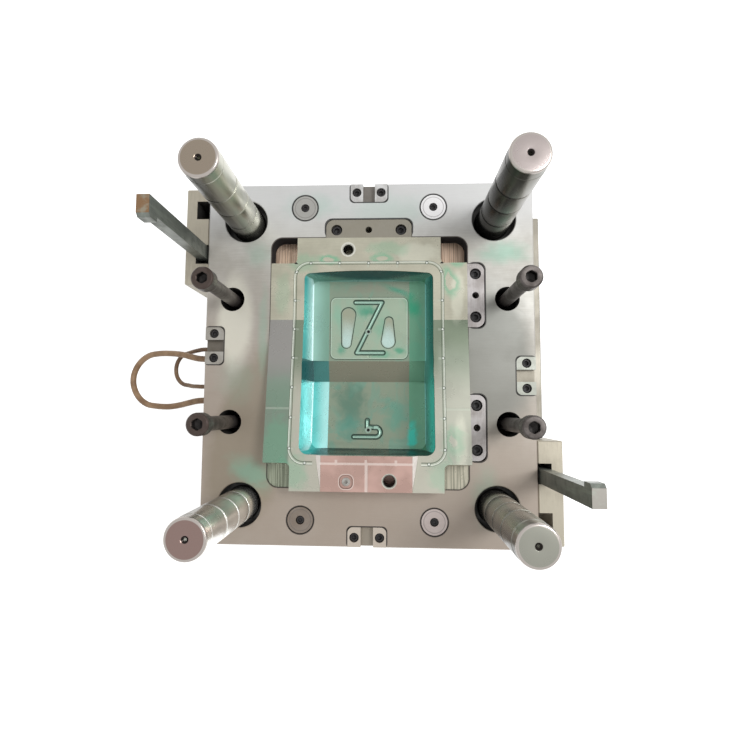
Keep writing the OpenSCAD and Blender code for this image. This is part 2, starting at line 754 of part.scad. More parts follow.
// Stop pads: hardened discs in counterbores, one screw each
module at_stop_pad(c) translate([c.x * stop_pad_x, c.y * stop_pad_y, face_z]) children();
module stop_pad() {
    color([0.68, 0.66, 0.64]) difference() {
        bore(stop_pad_d, -stop_pad_t, 0);
        bore(small_screw_m + 2 * hole_gap, -stop_pad_t - cut, cut);
        bore(head_d(small_screw_m) - 0.2, -stop_pad_t + 3, cut);
    }
}
stop_pad_screw_end = -26;
module stop_pad_screws() {
    m = small_screw_m - 1;
    color([0.14, 0.14, 0.15]) for (c = corners) at_stop_pad(c) translate([0, 0, -stop_pad_t + 3 + m])
        difference() {
            union() {
                translate([0, 0, -m]) cylinder(h = m - 1.5, d = head_d(m));
                translate([0, 0, stop_pad_screw_end + stop_pad_t - 3 - m])
                    cylinder(h = -stop_pad_screw_end - stop_pad_t + 3 + cut, d = m);
            }
            translate([0, 0, -m / 2 - 1]) cylinder(h = m, d = hex_of(m) / cos(30), $fn = 6);
        }
}

// Water channels, hose nipples and the manifold over the channels' far ends
long_hose_y = [8, -61];
short_hose_y = [24, -38];
water_y = concat(long_hose_y, short_hose_y);
water_z = face_z - water_depth;
nipple_hex = 14;
nipple_thread_d = 10;
nipple_thread_l = 12;
module at_nipple(y) translate([-plate_w / 2, y, water_z]) rotate([0, -90, 0]) children();
module hose_nipples() {
    color([0.72, 0.58, 0.3]) for (y = water_y) at_nipple(y) difference() {
        union() {
            bore(nipple_thread_d, -nipple_thread_l, cut);
            cylinder(h = 6, d = nipple_hex / cos(30), $fn = 6);
            bore(7.5, 5, nipple_out);
        }
        bore(4, -nipple_thread_l - cut, nipple_out + cut);
    }
}

manifold_y = block_y - 1.5;
manifold_channel_low_y = -70;
manifold_channel_high_y = 30;
module water_manifold() {
    color([0.7, 0.68, 0.64]) difference() {
        translate([(plate_w + manifold_t) / 2, manifold_l / 2 - manifold_y, 0])
            translate([0, 0, face_z - manifold_drop - manifold_h]) bevel_block(manifold_t, manifold_l, manifold_h, plate_bevel);
        for (y = water_y) translate([plate_w / 2 - cut, y, water_z])
            rotate([0, 90, 0]) bore(water_d, 0, manifold_t / 2 + 4 + cut);
        translate([plate_w / 2 + manifold_t / 2, 0, water_z])
            rotate([90, 0, 0]) bore(water_d, -manifold_channel_high_y, -manifold_channel_low_y);
        at_manifold_screws() cap_screw_hole(screw_m, manifold_t, 0);
    }
}
module at_manifold_screws() {
    for (y = [-manifold_y + 20, manifold_l / 2 - manifold_y, manifold_l - manifold_y - 20])
        translate([plate_w / 2 + manifold_t, y, water_z - 10]) rotate([0, 90, 0]) children();
}
module manifold_screws() {
    color([0.22, 0.22, 0.23]) at_manifold_screws() cap_screw(screw_m, manifold_screw_l);
}
manifold_screw_l = 28;
module latch_block_screws() {
    color([0.22, 0.22, 0.23]) for (a = [0, 180]) rotate([0, 0, a])
        at_block_screws() translate([0, 0, -2]) cap_screw(big_screw_m, block_screw_l);
}
block_screw_l = 40;

// Cavity plate
insert_screw_in_x = 22;
insert_screw_in_y = 68;
insert_screw_at = [insert_w / 2 - insert_screw_in_x, insert_l / 2 - insert_screw_in_y];
insert_screw_l = 36;
insert_screw_end = cavity_z - face_z + head_h(big_screw_m) + insert_screw_l + 4;
eyebolt_in = 100;
eyebolt_x = plate_w / 2 - eyebolt_in;
eyebolt_d = 21;
eyebolt_l = 35;
module cavity_plate() {
    color([0.74, 0.72, 0.68]) difference() {
        translate([0, 0, cavity_z]) bevel_block(plate_w, plate_l, cavity_t, plate_bevel);
        translate([0, 0, face_z - insert_depth]) linear_extrude(insert_depth + cut)
            round_rect(insert_w + 2 * fit, insert_l + 2 * fit, insert_r + fit);
        for (c = corners) {
            at_pillar(c) {
                bore(bush_d + 2 * fit, cavity_z - cut, face_z + cut);
                bore(bush_flange_d + 2 * fit, cavity_z - cut, cavity_z + bush_flange_h);
                translate([0, 0, face_z - 1]) cylinder(h = 1 + cut, d1 = bush_d, d2 = bush_d + 4);
            }
            at_stop(c) {
                bore(stop_shank_d + 4 * hole_gap, cavity_z - cut, face_z);
                bore(stop_bore_d, face_z - stop_bore_depth, face_z + cut);
            }
            at_stop_pad(c) {
                bore(stop_pad_d + 2 * stop_pad_gap, -stop_pad_t, cut);
                bore(small_screw_m - 1 + 2 * fit, stop_pad_screw_end - 2, cut);
            }
            translate([c.x * insert_screw_at.x, c.y * insert_screw_at.y, 0]) {
                bore(big_screw_m + 2 * hole_gap, cavity_z - cut, face_z - insert_depth + cut);
                bore(head_d(big_screw_m) + 2 * hole_gap, cavity_z - cut, cavity_z + head_h(big_screw_m) + 2);
            }
            translate([c.x * eyebolt_x, c.y * plate_l / 2, face_z - cavity_t / 2])
                rotate([c.y * 90, 0, 0]) bore(eyebolt_d, -cut, eyebolt_l);
        }
        at_wedge_top() wedge_pocket(wedge_top_l, wedge_top_w, wedge_top_pitch);
        for (k = [-1, 1]) at_wedge_side(k) wedge_pocket(wedge_side_l, wedge_side_w, wedge_side_pitch);
        at_lock_top() lock_pocket();
        at_lock_bottom() lock_pocket();
        at_lock_left() lock_pocket();
        at_lock_right() lock_pocket();
        for (y = water_y) {
            translate([0, y, water_z]) rotate([0, 90, 0]) bore(water_d, -plate_w / 2 - cut, plate_w / 2 + cut);
            at_nipple(y) bore(nipple_thread_d + 2 * fit, -nipple_thread_l - 1, cut);
        }
        for (a = [0, 180]) rotate([0, 0, a]) at_block_screws()
            bore(big_screw_m + 2 * fit, -head_h(big_screw_m) - 2 - block_screw_l - 2, 0);
        at_manifold_screws() bore(screw_m + 2 * fit, -head_h(screw_m) - manifold_screw_l - 2, 0);
        for (g = [gate_upper_at, gate_lower_at]) translate(g)
            translate([0, 0, cavity_z - cut])
                cylinder(h = face_z - insert_depth - cavity_z + 2 * cut, d1 = gate_drop_d,
                    d2 = gate_hole_d + gate_taper);
        hull() for (g = [gate_upper_at, gate_lower_at]) translate([g.x, g.y, cavity_z - cut])
            cylinder(h = runner_groove_depth + cut, d = runner_groove_w, $fn = 32);
    }
}

module insert_screws() {
    color([0.22, 0.22, 0.23]) for (c = corners) translate([c.x * insert_screw_at.x, c.y * insert_screw_at.y, cavity_z + 2])
        mirror([0, 0, 1]) cap_screw(big_screw_m, insert_screw_l);
}

// One side of the cavity's outline from the upper middle to the lower middle, as [x, y]:
// an arched upper edge, a corner, the straight side with the floor's and surface's breaks,
// a corner and the lower edge
arc_steps = 6;
arch_steps = 5;
function half_outline(w, top, low, r_top, r_low) = concat(
    [for (i = [0 : arch_steps - 1]) let(x = (w - r_top) * i / arch_steps) [x, top - rim_arch * pow(x / w, 2)]],
    let(y = top - rim_arch * pow((w - r_top) / w, 2))
    [for (i = [0 : arc_steps]) let(a = 90 * (1 - i / arc_steps))
        [w - r_top + r_top * cos(a), y - r_top + r_top * sin(a)]],
    [for (y = [rise_y, ramp_y, ramp_end_y]) [w, y]],
    [for (i = [0 : arc_steps]) let(a = -90 * i / arc_steps)
        [w - r_low + r_low * cos(a), -low + r_low + r_low * sin(a)]],
    [[0, -low]]);

// The cavity as a loft from the floor's outline through the rim's, carried on above the surface.
// Both rings have the same points, so that the walls are ruled from the floor to the rim.
overrun = 1.3;
module cavity_void() {
    floor_half = half_outline(floor_half_w, rim_top_y - end_inset, rim_low_y - end_inset, rim_top_r, rim_low_r);
    rim_half = half_outline(rim_half_w, rim_top_y, rim_low_y, rim_top_r, rim_low_r);
    n = len(floor_half);
    low = [for (p = floor_half) [p.x, p.y, floor_z(p.y)]];
    rim = [for (p = rim_half) [p.x, p.y, surface_z(p.y)]];
    top = [for (i = [0 : n - 1]) low[i] + overrun * (rim[i] - low[i])];
    // Right half of each ring, then its left half without the two middle points
    points = [for (half = [low, top])
        each concat(half, [for (i = [n - 2 : -1 : 1]) [-half[i].x, half[i].y, half[i].z]])];
    m = 2 * n - 2;
    walls = [for (i = [0 : m - 1]) let(j = (i + 1) % m) [i, j, m + j, m + i]];
    function left(i) = (m - i) % m;
    lid = [for (i = [0 : n - 2]) i == 0 ? [0, 1, left(1)]
        : i == n - 2 ? [i, n - 1, left(i)] : [i, i + 1, left(i + 1), left(i)]];
    floor = [for (f = lid) [for (j = [len(f) - 1 : -1 : 0]) f[j]]];
    polyhedron(points, concat(walls, floor, [for (f = lid) [for (j = f) j + m]]), convexity = 4);
}

// Everything above the parting surface lowered by d, as a prism along X
module above_surface(d, w) {
    high = shelf_z + 20;
    along_x(w) polygon([[-insert_l, surface_z(-insert_l) - d], [rise_y, -d], [insert_l, -d],
        [insert_l, high + insert_l], [-insert_l, high + insert_l]]);
}

// Vent groove round the cavity, its slots, and the channels that lead it to the edges
vent_x = rim_half_w + vent_gap_x;
vent_top_y = rim_top_y + vent_gap_y;
vent_low_y = rim_low_y + vent_gap_y;
vent_r = 20;
vent_exit_y = -72.5;
module vent_ring() {
    mid_y = (vent_top_y - vent_low_y) / 2;
    half_l = (vent_top_y + vent_low_y) / 2;
    translate([0, mid_y]) difference() {
        round_rect(2 * (vent_x + vent_w), 2 * (half_l + vent_w), vent_r + vent_w);
        round_rect(2 * vent_x, 2 * half_l, vent_r);
    }
}
module vent_slots() {
    for (i = [0 : 5], s = [-1, 1]) translate([s * (vent_x - vent_slot_l / 2 + 0.5), 92 - i * vent_pitch])
        square([vent_slot_l + 1, vent_slot_w], center = true);
    for (i = [-1 : 1]) translate([i * vent_pitch - 0.5, vent_top_y - vent_slot_l / 2 + 0.5])
        square([vent_slot_w, vent_slot_l + 1], center = true);
}
module vent_exits() {
    reach = insert_w / 2 - recess_side;
    for (s = [-1, 1]) {
        translate([s * (vent_x + insert_w / 2) / 2, vent_exit_y])
            square([insert_w / 2 - vent_x + 2, vent_w], center = true);
        translate([s * (vent_x - 3), vent_top_y - 3])
            rotate(s * -45) translate([-vent_w / 2, 0]) square([vent_w, reach / 6]);
    }
}
shelf_zone = shelf_half_w + 12;
module surface_grooves() {
    intersection() {
        translate([0, 0, -recess_depth]) linear_extrude(recess_depth + shelf_z + 5) difference() {
            union() {
                vent_ring();
                vent_slots();
                vent_exits();
            }
            translate([-shelf_zone, -insert_l]) square([2 * shelf_zone, insert_l - rim_low_y]);
        }
        above_surface(vent_depth, insert_w + 10);
    }
    translate([0, 0, shelf_z - vent_depth]) linear_extrude(5) {
        translate([-shelf_half_w - 2, -vent_low_y - vent_w]) square([2 * shelf_half_w + 4, vent_w]);
        for (i = [-1 : 1]) translate([i * (vent_pitch - 2) - 0.5, -vent_low_y])
            square([vent_slot_w, 2 * vent_slot_l - 3], center = true);
        translate([-shelf_channel_w / 2, -insert_l / 2 - cut])
            square([shelf_channel_w, insert_l / 2 - vent_low_y + cut]);
    }
}

// Corner recess that a heel of the other half locks into: drafted walls, round inner corner
module corner_recess(c, floor_level, height) {
    grow = height * tan(recess_draft);
    module level(z, side, h) translate([c.x * (insert_w / 2 + recess_side / 2), c.y * (insert_l / 2 + recess_side / 2), z])
        linear_extrude(h) round_rect(recess_side + 2 * side, recess_side + 2 * side, recess_r, $fn = 32);
    hull() {
        level(floor_level, recess_side - grow, 0.5);
        level(floor_level + height, recess_side, 20);
    }
}

// Raised shelf at the insert's lower end, on the rising part of the parting surface
module shelf() {
    drop = 30;
    flare = drop * tan(shelf_flare);
    length = insert_l / 2 - rim_low_y + cut * 4;
    translate([0, -insert_l / 2 + length / 2, 0]) along_y(length)
        polygon([[-shelf_half_w, shelf_z], [shelf_half_w, shelf_z],
            [shelf_half_w + flare, shelf_z - drop], [-shelf_half_w - flare, shelf_z - drop]]);
}

// Sloped bands along both sides of the floor
module floor_bands() {
    tri = [[0, -band_rise], [band_w + 12, -band_rise], [band_w + 12, (band_w + 12) * band_rise / band_w], [0, 0]];
    upper_l = rim_top_y - ramp_y;
    lower_l = (rim_low_y + ramp_end_y) / cos(rise_angle);
    for (s = [0, 1]) mirror([s, 0, 0]) {
        translate([floor_half_w - band_w, ramp_y + upper_l / 2, -floor_depth]) along_y(upper_l) polygon(tri);
        translate([floor_half_w - band_w, ramp_end_y, -floor_depth - ramp_drop]) rotate([-rise_angle, 0, 0])
            translate([0, -lower_l / 2 - 3, 0]) along_y(lower_l) polygon(tri);
    }
}

// Round-bottomed groove between two points of the floor: plain, or with round ends
module open_groove(a, b, r) {
    d = b - a;
    translate([a.x, a.y, 0]) rotate([0, 0, atan2(d.y, d.x)]) rotate([0, 90, 0]) cylinder(h = norm(d), r = r);
}
module floor_groove(a, b, r) {
    d = b - a;
    translate([a.x, a.y, 0]) rotate([0, 0, atan2(d.y, d.x)]) rotate([0, 90, 0]) rotate_extrude() {
        square([r, norm(d)]);
        for (y = [0, norm(d)]) translate([0, y]) intersection() {
            circle(r);
            translate([0, -r]) square([r, 2 * r]);
        }
    }
}
groove_r = groove_w / 2;
zigzag_z = -floor_depth + pad_h + groove_r - groove_depth;
module zigzag_groove() {
    tl = [-zigzag_half - 1, zigzag_top_y];
    tr = [zigzag_half, zigzag_top_y];
    bl = [-zigzag_half + 1, zigzag_low_y];
    br = [zigzag_half + 2, zigzag_low_y];
    translate([0, 0, zigzag_z]) {
        floor_groove(tl, tr, groove_r);
        open_groove(tr, bl, groove_r - 0.2);
        floor_groove(bl, br, groove_r);
        floor_groove([0, zigzag_top_y], [0, zigzag_top_y + 6], groove_r / 2);
        floor_groove([-1, zigzag_low_y], [-1, zigzag_low_y - 7], groove_r / 2);
    }
}

// Hook-shaped groove on the lower floor, drawn in the floor's own plane
hook_y = -116.5;
hook_bar_half = 17;
hook_bend_r = 7.5;
module hook_groove() {
    r = groove_r;
    translate([0, ramp_end_y, -floor_depth - ramp_drop + r - groove_depth]) rotate([-rise_angle, 0, 0])
        translate([0, -ramp_end_y / cos(rise_angle) + (hook_y * (1 / cos(rise_angle) - 1)), 0]) {
            floor_groove([-hook_bar_half - 6, hook_y], [hook_bar_half - 6, hook_y], r);
            translate([hook_bar_half - 6, hook_y + hook_bend_r, 0])
                rotate([0, 0, -90]) rotate_extrude(angle = 150) translate([hook_bend_r, 0]) circle(r);
            open_groove([hook_bar_half - 9.25, hook_y + 13.9], [-2, hook_y + 15.5], r - 0.3);
            floor_groove([-2, hook_y + 15], [-2, hook_y + 25], r * 0.8);
        }
}

// Two shallow dishes beside the zigzag groove
module pad_dishes() {
    translate([0, 0, -floor_depth + pad_h - dish_depth]) linear_extrude(dish_depth + cut) {
        translate([0, pad_y]) {
            taper_slot([-33, 21.5], 12, [-36, -24.5], 8);
            taper_slot([31.5, 11.5], 7, [30.5, -21], 11.5);
        }
    }
}

// The insert's outline with its parting surface and shelf, between two places along Y. It is built
// up of a middle block and two end bars, whose joints run just inside the vent groove.
joint_in = 1.5;
top_joint_y = vent_top_y - joint_in;
shelf_joint_y = joint_in - vent_low_y;
module insert_block(y0, y1) {
    intersection() {
        translate([0, 0, -insert_depth]) linear_extrude(insert_depth + shelf_z + 5) intersection() {
            round_rect(insert_w, insert_l, insert_r);
            translate([-insert_w, y0]) square([2 * insert_w, y1 - y0]);
        }
        union() {
            along_x(insert_w + 2 * cut) polygon([[-insert_l / 2 - cut, -insert_depth - cut],
                [insert_l / 2 + cut, -insert_depth - cut], [insert_l / 2 + cut, 0], [rise_y, 0],
                [-insert_l / 2 - cut, surface_z(-insert_l / 2 - cut)]]);
            shelf();
        }
    }
}

// End bar with the insert bush and the upper corner recesses
module insert_top_bar() {
    color([0.62, 0.66, 0.6]) translate([0, 0, face_z]) difference() {
        insert_block(top_joint_y + fit, insert_l);
        surface_grooves();
        for (c = [corners[0], corners[1]]) corner_recess(c, -recess_depth, recess_depth);
        translate(guide_bush_at) bore(guide_bush_od + 2 * fit, -guide_bush_l, cut);
        translate(guide_bush_at) bore(guide_bush_bore + 1, -guide_bush_l - 15, cut);
    }
}

// End bar with the shelf, its bush and pin, and the lower corner recesses
module insert_shelf_bar() {
    color([0.62, 0.66, 0.6]) translate([0, 0, face_z]) difference() {
        insert_block(-insert_l, shelf_joint_y - fit);
        surface_grooves();
        for (c = [corners[2], corners[3]])
            corner_recess(c, -low_recess_depth, shelf_z + low_recess_depth);
        translate(shelf_bush_at) bore(shelf_bush_od + 2 * fit, shelf_z - shelf_bush_l, shelf_z + cut);
        translate(shelf_bush_at) bore(shelf_bush_bore + 1, shelf_z - shelf_bush_l - 15, shelf_z);
        translate(shelf_pin_at) {
            bore(shelf_pin_d + 2 * fit, shelf_z - shelf_pin_l, shelf_z + cut);
            translate([0, 0, shelf_z - pin_pocket_depth]) linear_extrude(pin_pocket_depth + cut)
                round_rect(pin_pocket, pin_pocket, 7);
        }
    }
}

// The cavity insert's middle block
module cavity_insert() {
    color([0.62, 0.66, 0.6]) translate([0, 0, face_z]) difference() {
        union() {
            difference() {
                insert_block(shelf_joint_y, top_joint_y);
                cavity_void();
            }
            floor_bands();
            translate([0, pad_y, -floor_depth - 1]) linear_extrude(pad_h + 1) round_rect(pad_w, pad_l, pad_r);
        }
        surface_grooves();
        zigzag_groove();
        hook_groove();
        pad_dishes();
        for (g = [gate_upper_at, gate_lower_at]) translate(g) {
            bore(gate_bush_d + 2 * fit, -insert_depth - cut, -floor_depth + 4);
            bore(gate_flange_d + 2 * fit, -insert_depth - cut, -insert_depth + gate_flange_h);
        }
        for (y = water_y) translate([0, y, -water_depth])
            rotate([0, 90, 0]) bore(water_d, -insert_w / 2 - cut, insert_w / 2 + cut);
        for (c = corners) translate([c.x * insert_screw_at.x, c.y * insert_screw_at.y, 0])
            bore(big_screw_m + 2 * fit, -insert_depth - cut, insert_screw_end);
    }
}

module insert_bush() {
    color([0.66, 0.66, 0.62]) translate([guide_bush_at.x, guide_bush_at.y, face_z]) difference() {
        bore(guide_bush_od, -guide_bush_l, 0);
        bore(guide_bush_bore, -guide_bush_l - cut, cut);
        translate([0, 0, -1.5]) cylinder(h = 1.5 + cut, d1 = guide_bush_bore, d2 = guide_bush_bore + 5);
    }
}

module shelf_bush() {
    color([0.66, 0.62, 0.6]) translate([shelf_bush_at.x, shelf_bush_at.y, face_z + shelf_z]) difference() {
        bore(shelf_bush_od, -shelf_bush_l, 0);
        bore(shelf_bush_bore, -shelf_bush_l - cut, cut);
        translate([0, 0, -2]) cylinder(h = 2 + cut, d1 = shelf_bush_bore, d2 = shelf_bush_bore + 6);
    }
}

module shelf_pin() {
    color([0.6, 0.58, 0.55]) translate([shelf_pin_at.x, shelf_pin_at.y, face_z + shelf_z]) difference() {
        bore(shelf_pin_d, -shelf_pin_l, -1);
        bore(5, -6, 0);
    }
}

// Gate bushes: from the runner up to the cavity's floor
module gate_bush(top) {
    color([0.58, 0.58, 0.55]) translate([0, 0, face_z]) difference() {
        union() {
            bore(gate_bush_d, -insert_depth, top);
            bore(gate_flange_d, -insert_depth, -insert_depth + gate_flange_h);
        }
        translate([0, 0, -insert_depth - cut])
            cylinder(h = insert_depth + top + cut - 3, d1 = gate_hole_d + gate_taper, d2 = gate_hole_d);
        bore(1.5, top - 5, top + cut);
    }
}

// Hoses: a tube swept along its own points
function unit(v) = v / norm(v);
function tangent(p, i) = unit(p[min(i + 1, len(p) - 1)] - p[max(i - 1, 0)]);
function ring(p, i, r, k) = let(t = tangent(p, i), u = unit(cross([0, 0, 1], t)), v = cross(t, u))
    [for (j = [0 : k - 1]) p[i] + r * (cos(360 * j / k) * u + sin(360 * j / k) * v)];
module tube(p, d, k = 10) {
    n = len(p);
    points = [for (i = [0 : n - 1]) each ring(p, i, d / 2, k)];
    sides = [for (i = [0 : n - 2], j = [0 : k - 1]) let(q = (j + 1) % k)
        [i * k + j, i * k + q, (i + 1) * k + q, (i + 1) * k + j]];
    ends = [[for (j = [k - 1 : -1 : 0]) j], [for (j = [0 : k - 1]) (n - 1) * k + j]];
    polyhedron(points, concat(sides, ends));
}

// Route points of the hoses' middle lines, from the upper nipple round to the lower one
long_hose_route = [[-264, 8, 125], [-275, 8, 125], [-287, 9, 124], [-300, 12, 121.5],
    [-313, 15.5, 118], [-326, 17.5, 114.5], [-338, 18.5, 111.5], [-351, 19, 108.5],
    [-364, 18.5, 105.5], [-379, 16, 102], [-392.5, 8, 99.5], [-402.5, -4, 98], [-408, -18.5, 97],
    [-408, -33.5, 97], [-402.5, -48, 98], [-392.5, -60, 100], [-379, -68, 102.5], [-364, -70.5, 105.5],
    [-351, -71.5, 108.5], [-338, -71.5, 111.5], [-325, -70, 114.5], [-312, -67.5, 118],
    [-299, -64.5, 121.5], [-287, -62, 124], [-275, -61, 125], [-264, -61, 125]];
short_hose_route = [[-264, 24, 125], [-272, 24, 125], [-280.5, 24, 123], [-289, 23, 119],
    [-297.5, 22, 113.5], [-306.5, 20.5, 107.5], [-319.5, 18, 99.5], [-328.5, 12, 95], [-334.5, 3, 92],
    [-336.5, -7.5, 91], [-334.5, -18, 92], [-328.5, -27, 95], [-319.5, -33, 99.5],
    [-306.5, -35.5, 107.5], [-297.5, -37, 113.5], [-289, -37.5, 119], [-280.5, -38, 123],
    [-272, -38, 125], [-264, -38, 125]];
module long_hose() color([0.64, 0.51, 0.39]) tube(long_hose_route, long_hose_d);
module short_hose() color([0.55, 0.44, 0.35]) tube(short_hose_route, short_hose_d, 8);

clamp_plate();
locating_ring();
locating_ring_screws();
sprue_bush();
at_pillar(corners[0]) guide_pillar();  // guide_pillar_upper_left
at_pillar(corners[1]) guide_pillar();  // guide_pillar_upper_right
at_pillar(corners[2]) guide_pillar();  // guide_pillar_lower_left
at_pillar(corners[3]) guide_pillar();  // guide_pillar_lower_right
latch_bar();  // latch_bar_left
opposite() latch_bar();  // latch_bar_right
latch_bar_screws();
runner_lock_pins();
runner_plate();
at_pillar(corners[0]) runner_bush();  // runner_bush_upper_left
at_pillar(corners[1]) runner_bush();  // runner_bush_upper_right
at_pillar(corners[2]) runner_bush();  // runner_bush_lower_left
at_pillar(corners[3]) runner_bush();  // runner_bush_lower_right
at_stop(corners[0]) stop_bolt();  // stop_bolt_upper_left
at_stop(corners[1]) stop_bolt();  // stop_bolt_upper_right
at_stop(corners[2]) stop_bolt();  // stop_bolt_lower_left
at_stop(corners[3]) stop_bolt();  // stop_bolt_lower_right
runner_limit_bolts();
cavity_plate();
at_pillar(corners[0]) guide_bush();  // guide_bush_upper_left
at_pillar(corners[1]) guide_bush();  // guide_bush_upper_right
at_pillar(corners[2]) guide_bush();  // guide_bush_lower_left
at_pillar(corners[3]) guide_bush();  // guide_bush_lower_right
cavity_insert();
insert_top_bar();
insert_shelf_bar();
insert_screws();
insert_bush();
shelf_bush();
shelf_pin();
translate(gate_upper_at) gate_bush(-floor_depth - 0.5);  // gate_bush_upper
translate(gate_lower_at) gate_bush(floor_z(gate_lower_at.y) - 1.5);  // gate_bush_lower
at_wedge_top() wedge(wedge_top_l, wedge_top_w, wedge_top_pitch);  // wedge_top
at_wedge_side(1) wedge(wedge_side_l, wedge_side_w, wedge_side_pitch);  // wedge_side_upper
at_wedge_side(-1) wedge(wedge_side_l, wedge_side_w, wedge_side_pitch);  // wedge_side_lower
wedge_screws();
at_lock_top() side_lock();  // side_lock_top
at_lock_bottom() side_lock();  // side_lock_bottom
at_lock_left() side_lock();  // side_lock_left
at_lock_right() side_lock();  // side_lock_right
side_lock_screws();
at_stop_pad(corners[0]) stop_pad();  // stop_pad_upper_left
at_stop_pad(corners[1]) stop_pad();  // stop_pad_upper_right
at_stop_pad(corners[2]) stop_pad();  // stop_pad_lower_left
at_stop_pad(corners[3]) stop_pad();  // stop_pad_lower_right
stop_pad_screws();
latch_block();  // latch_block_left
opposite() latch_block();  // latch_block_right
latch_block_screws();
water_manifold();
manifold_screws();
hose_nipples();
long_hose();
short_hose();
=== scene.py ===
# %% [markdown]
# # A housing mould, dressed in steel
#
# The packed CAD parts of an injection mould's cavity side come in as a fixed frame. This notebook
# gives them their looks: ground and polished steel, spotting ink, turned pillars and bolts with
# socket heads, and two water hoses. New pieces are surfaces worked out as whole arrays of points.

import json
import math

import bpy
import numpy as np
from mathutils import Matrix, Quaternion, Vector


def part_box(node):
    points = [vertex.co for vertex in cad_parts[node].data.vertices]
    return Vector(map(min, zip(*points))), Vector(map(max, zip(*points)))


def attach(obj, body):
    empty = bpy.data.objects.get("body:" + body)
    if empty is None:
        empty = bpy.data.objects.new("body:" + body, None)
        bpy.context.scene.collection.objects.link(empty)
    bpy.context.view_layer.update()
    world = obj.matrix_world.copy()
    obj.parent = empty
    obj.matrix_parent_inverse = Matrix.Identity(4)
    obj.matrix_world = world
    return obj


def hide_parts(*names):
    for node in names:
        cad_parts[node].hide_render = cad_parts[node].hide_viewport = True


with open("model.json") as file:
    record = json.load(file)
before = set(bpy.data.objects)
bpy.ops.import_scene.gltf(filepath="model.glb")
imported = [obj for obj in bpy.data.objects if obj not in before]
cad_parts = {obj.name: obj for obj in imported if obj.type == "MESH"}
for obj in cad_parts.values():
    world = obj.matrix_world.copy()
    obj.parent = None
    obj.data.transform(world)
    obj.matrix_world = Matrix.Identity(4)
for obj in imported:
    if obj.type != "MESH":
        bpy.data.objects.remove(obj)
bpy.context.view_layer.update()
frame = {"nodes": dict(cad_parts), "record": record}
slot_of = {entry["node"]: entry["material_slot"] for entry in frame["record"]["subparts"]}
MM = 0.001


def middle(node):
    """Middle of a CAD part's box."""
    low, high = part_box(node)
    return (low + high) / 2


# %% [markdown]
# ## The camera
#
# The photograph looks almost straight down from about 0.83 m above the parting face. A camera with
# no turn looks straight down in Blender, so its turn is a small vector: its direction is the axis
# and its length the angle in radians. Three angles would do too, but a small vector is one turn
# and leaves no doubt about their order. The lens follows from the focal length in pixels.

# %% Camera
FRAME_PX = 730
FOCAL_PX = 554.9
MIDDLE_PX = (361.4, 360.3)
SENSOR_MM = 36
CAMERA_PLACE = (0.0311, -0.0730, 1.0339)
CAMERA_TURN = Vector((0.0877, 0.0487, 0.0055))

lens = bpy.data.cameras.new("camera")
lens.sensor_width = SENSOR_MM
lens.lens = FOCAL_PX / FRAME_PX * SENSOR_MM
lens.shift_x = (FRAME_PX / 2 - MIDDLE_PX[0]) / FRAME_PX
lens.shift_y = (MIDDLE_PX[1] - FRAME_PX / 2) / FRAME_PX
camera = bpy.data.objects.new("camera", lens)
camera.location = CAMERA_PLACE
camera.rotation_mode = "QUATERNION"
camera.rotation_quaternion = Quaternion(CAMERA_TURN.normalized(), CAMERA_TURN.length)
bpy.context.scene.collection.objects.link(camera)
bpy.context.scene.camera = camera
print("lens:", round(lens.lens, 2), "mm")

# %% [markdown]
# ## Shapes as arrays
#
# A shape is a pair: an array of points and a list of faces. A grid of points with rows and columns
# becomes a skin when each point is joined to its neighbours, and every turned part or tube here is
# such a grid, closed by a point at each end. Primitives and modifiers could make them as well, but
# as arrays their sizes come straight from the CAD boxes. Only the finished piece becomes a mesh.

# %% Grids, skins and pieces
def skin(rows, low_end, high_end):
    """Closed skin over rows of points, shape (rows, columns, 3).

    Each point is joined to the next in its row, all the way round, and to the row above. The first
    and last rows are closed by a fan of triangles round an end point.
    """
    count, columns = rows.shape[:2]
    points = np.vstack([rows.reshape(-1, 3), [low_end], [high_end]])
    row, column = np.meshgrid(np.arange(count - 1), np.arange(columns), indexing="ij")
    after = (column + 1) % columns
    quads = np.stack([row * columns + column, row * columns + after,
                      (row + 1) * columns + after, (row + 1) * columns + column], -1)
    around = np.arange(columns)
    ahead = (around + 1) % columns
    top = (count - 1) * columns
    low = np.stack([ahead, around, np.full(columns, count * columns)], -1)
    high = np.stack([top + around, top + ahead, np.full(columns, count * columns + 1)], -1)
    return points, quads.reshape(-1, 4).tolist() + low.tolist() + high.tolist()


def joined(shapes):
    """One shape of several: points in a row, and each shape's faces counted on from there."""
    points, faces, start = [], [], 0
    for some_points, some_faces in shapes:
        points.append(some_points)
        faces += [[start + index for index in face] for face in some_faces]
        start += len(some_points)
    return np.vstack(points), faces


def placed(shape, place, axis=(0, 0, 1)):
    """The shape with its Z axis turned to point along axis, then moved to place."""
    turn = np.array(Vector((0, 0, 1)).rotation_difference(Vector(axis)).to_matrix())
    return shape[0] @ turn.T + np.array(place), shape[1]


def piece(name, shape, finish, body, node, sharp=35):
    """A mesh piece from a shape, in place of a CAD node and riding on its body.

    It is shaded smooth but for edges sharper than the angle in degrees.
    """
    mesh = bpy.data.meshes.new(name)
    mesh.from_pydata(shape[0].tolist(), [], shape[1])
    mesh.shade_smooth()
    mesh.set_sharp_from_angle(angle=math.radians(sharp))
    mesh.materials.append(finish)
    made = bpy.data.objects.new(name, mesh)
    bpy.context.scene.collection.objects.link(made)
    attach(made, body)
    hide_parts(node)
    print(f"{name}: {len(mesh.polygons)} faces, for {node}")
    return made


print("a skin over 3 rows of 8 points:", len(skin(np.zeros((3, 8, 3)), (0, 0, 0), (0, 0, 1))[1]),
      "faces")

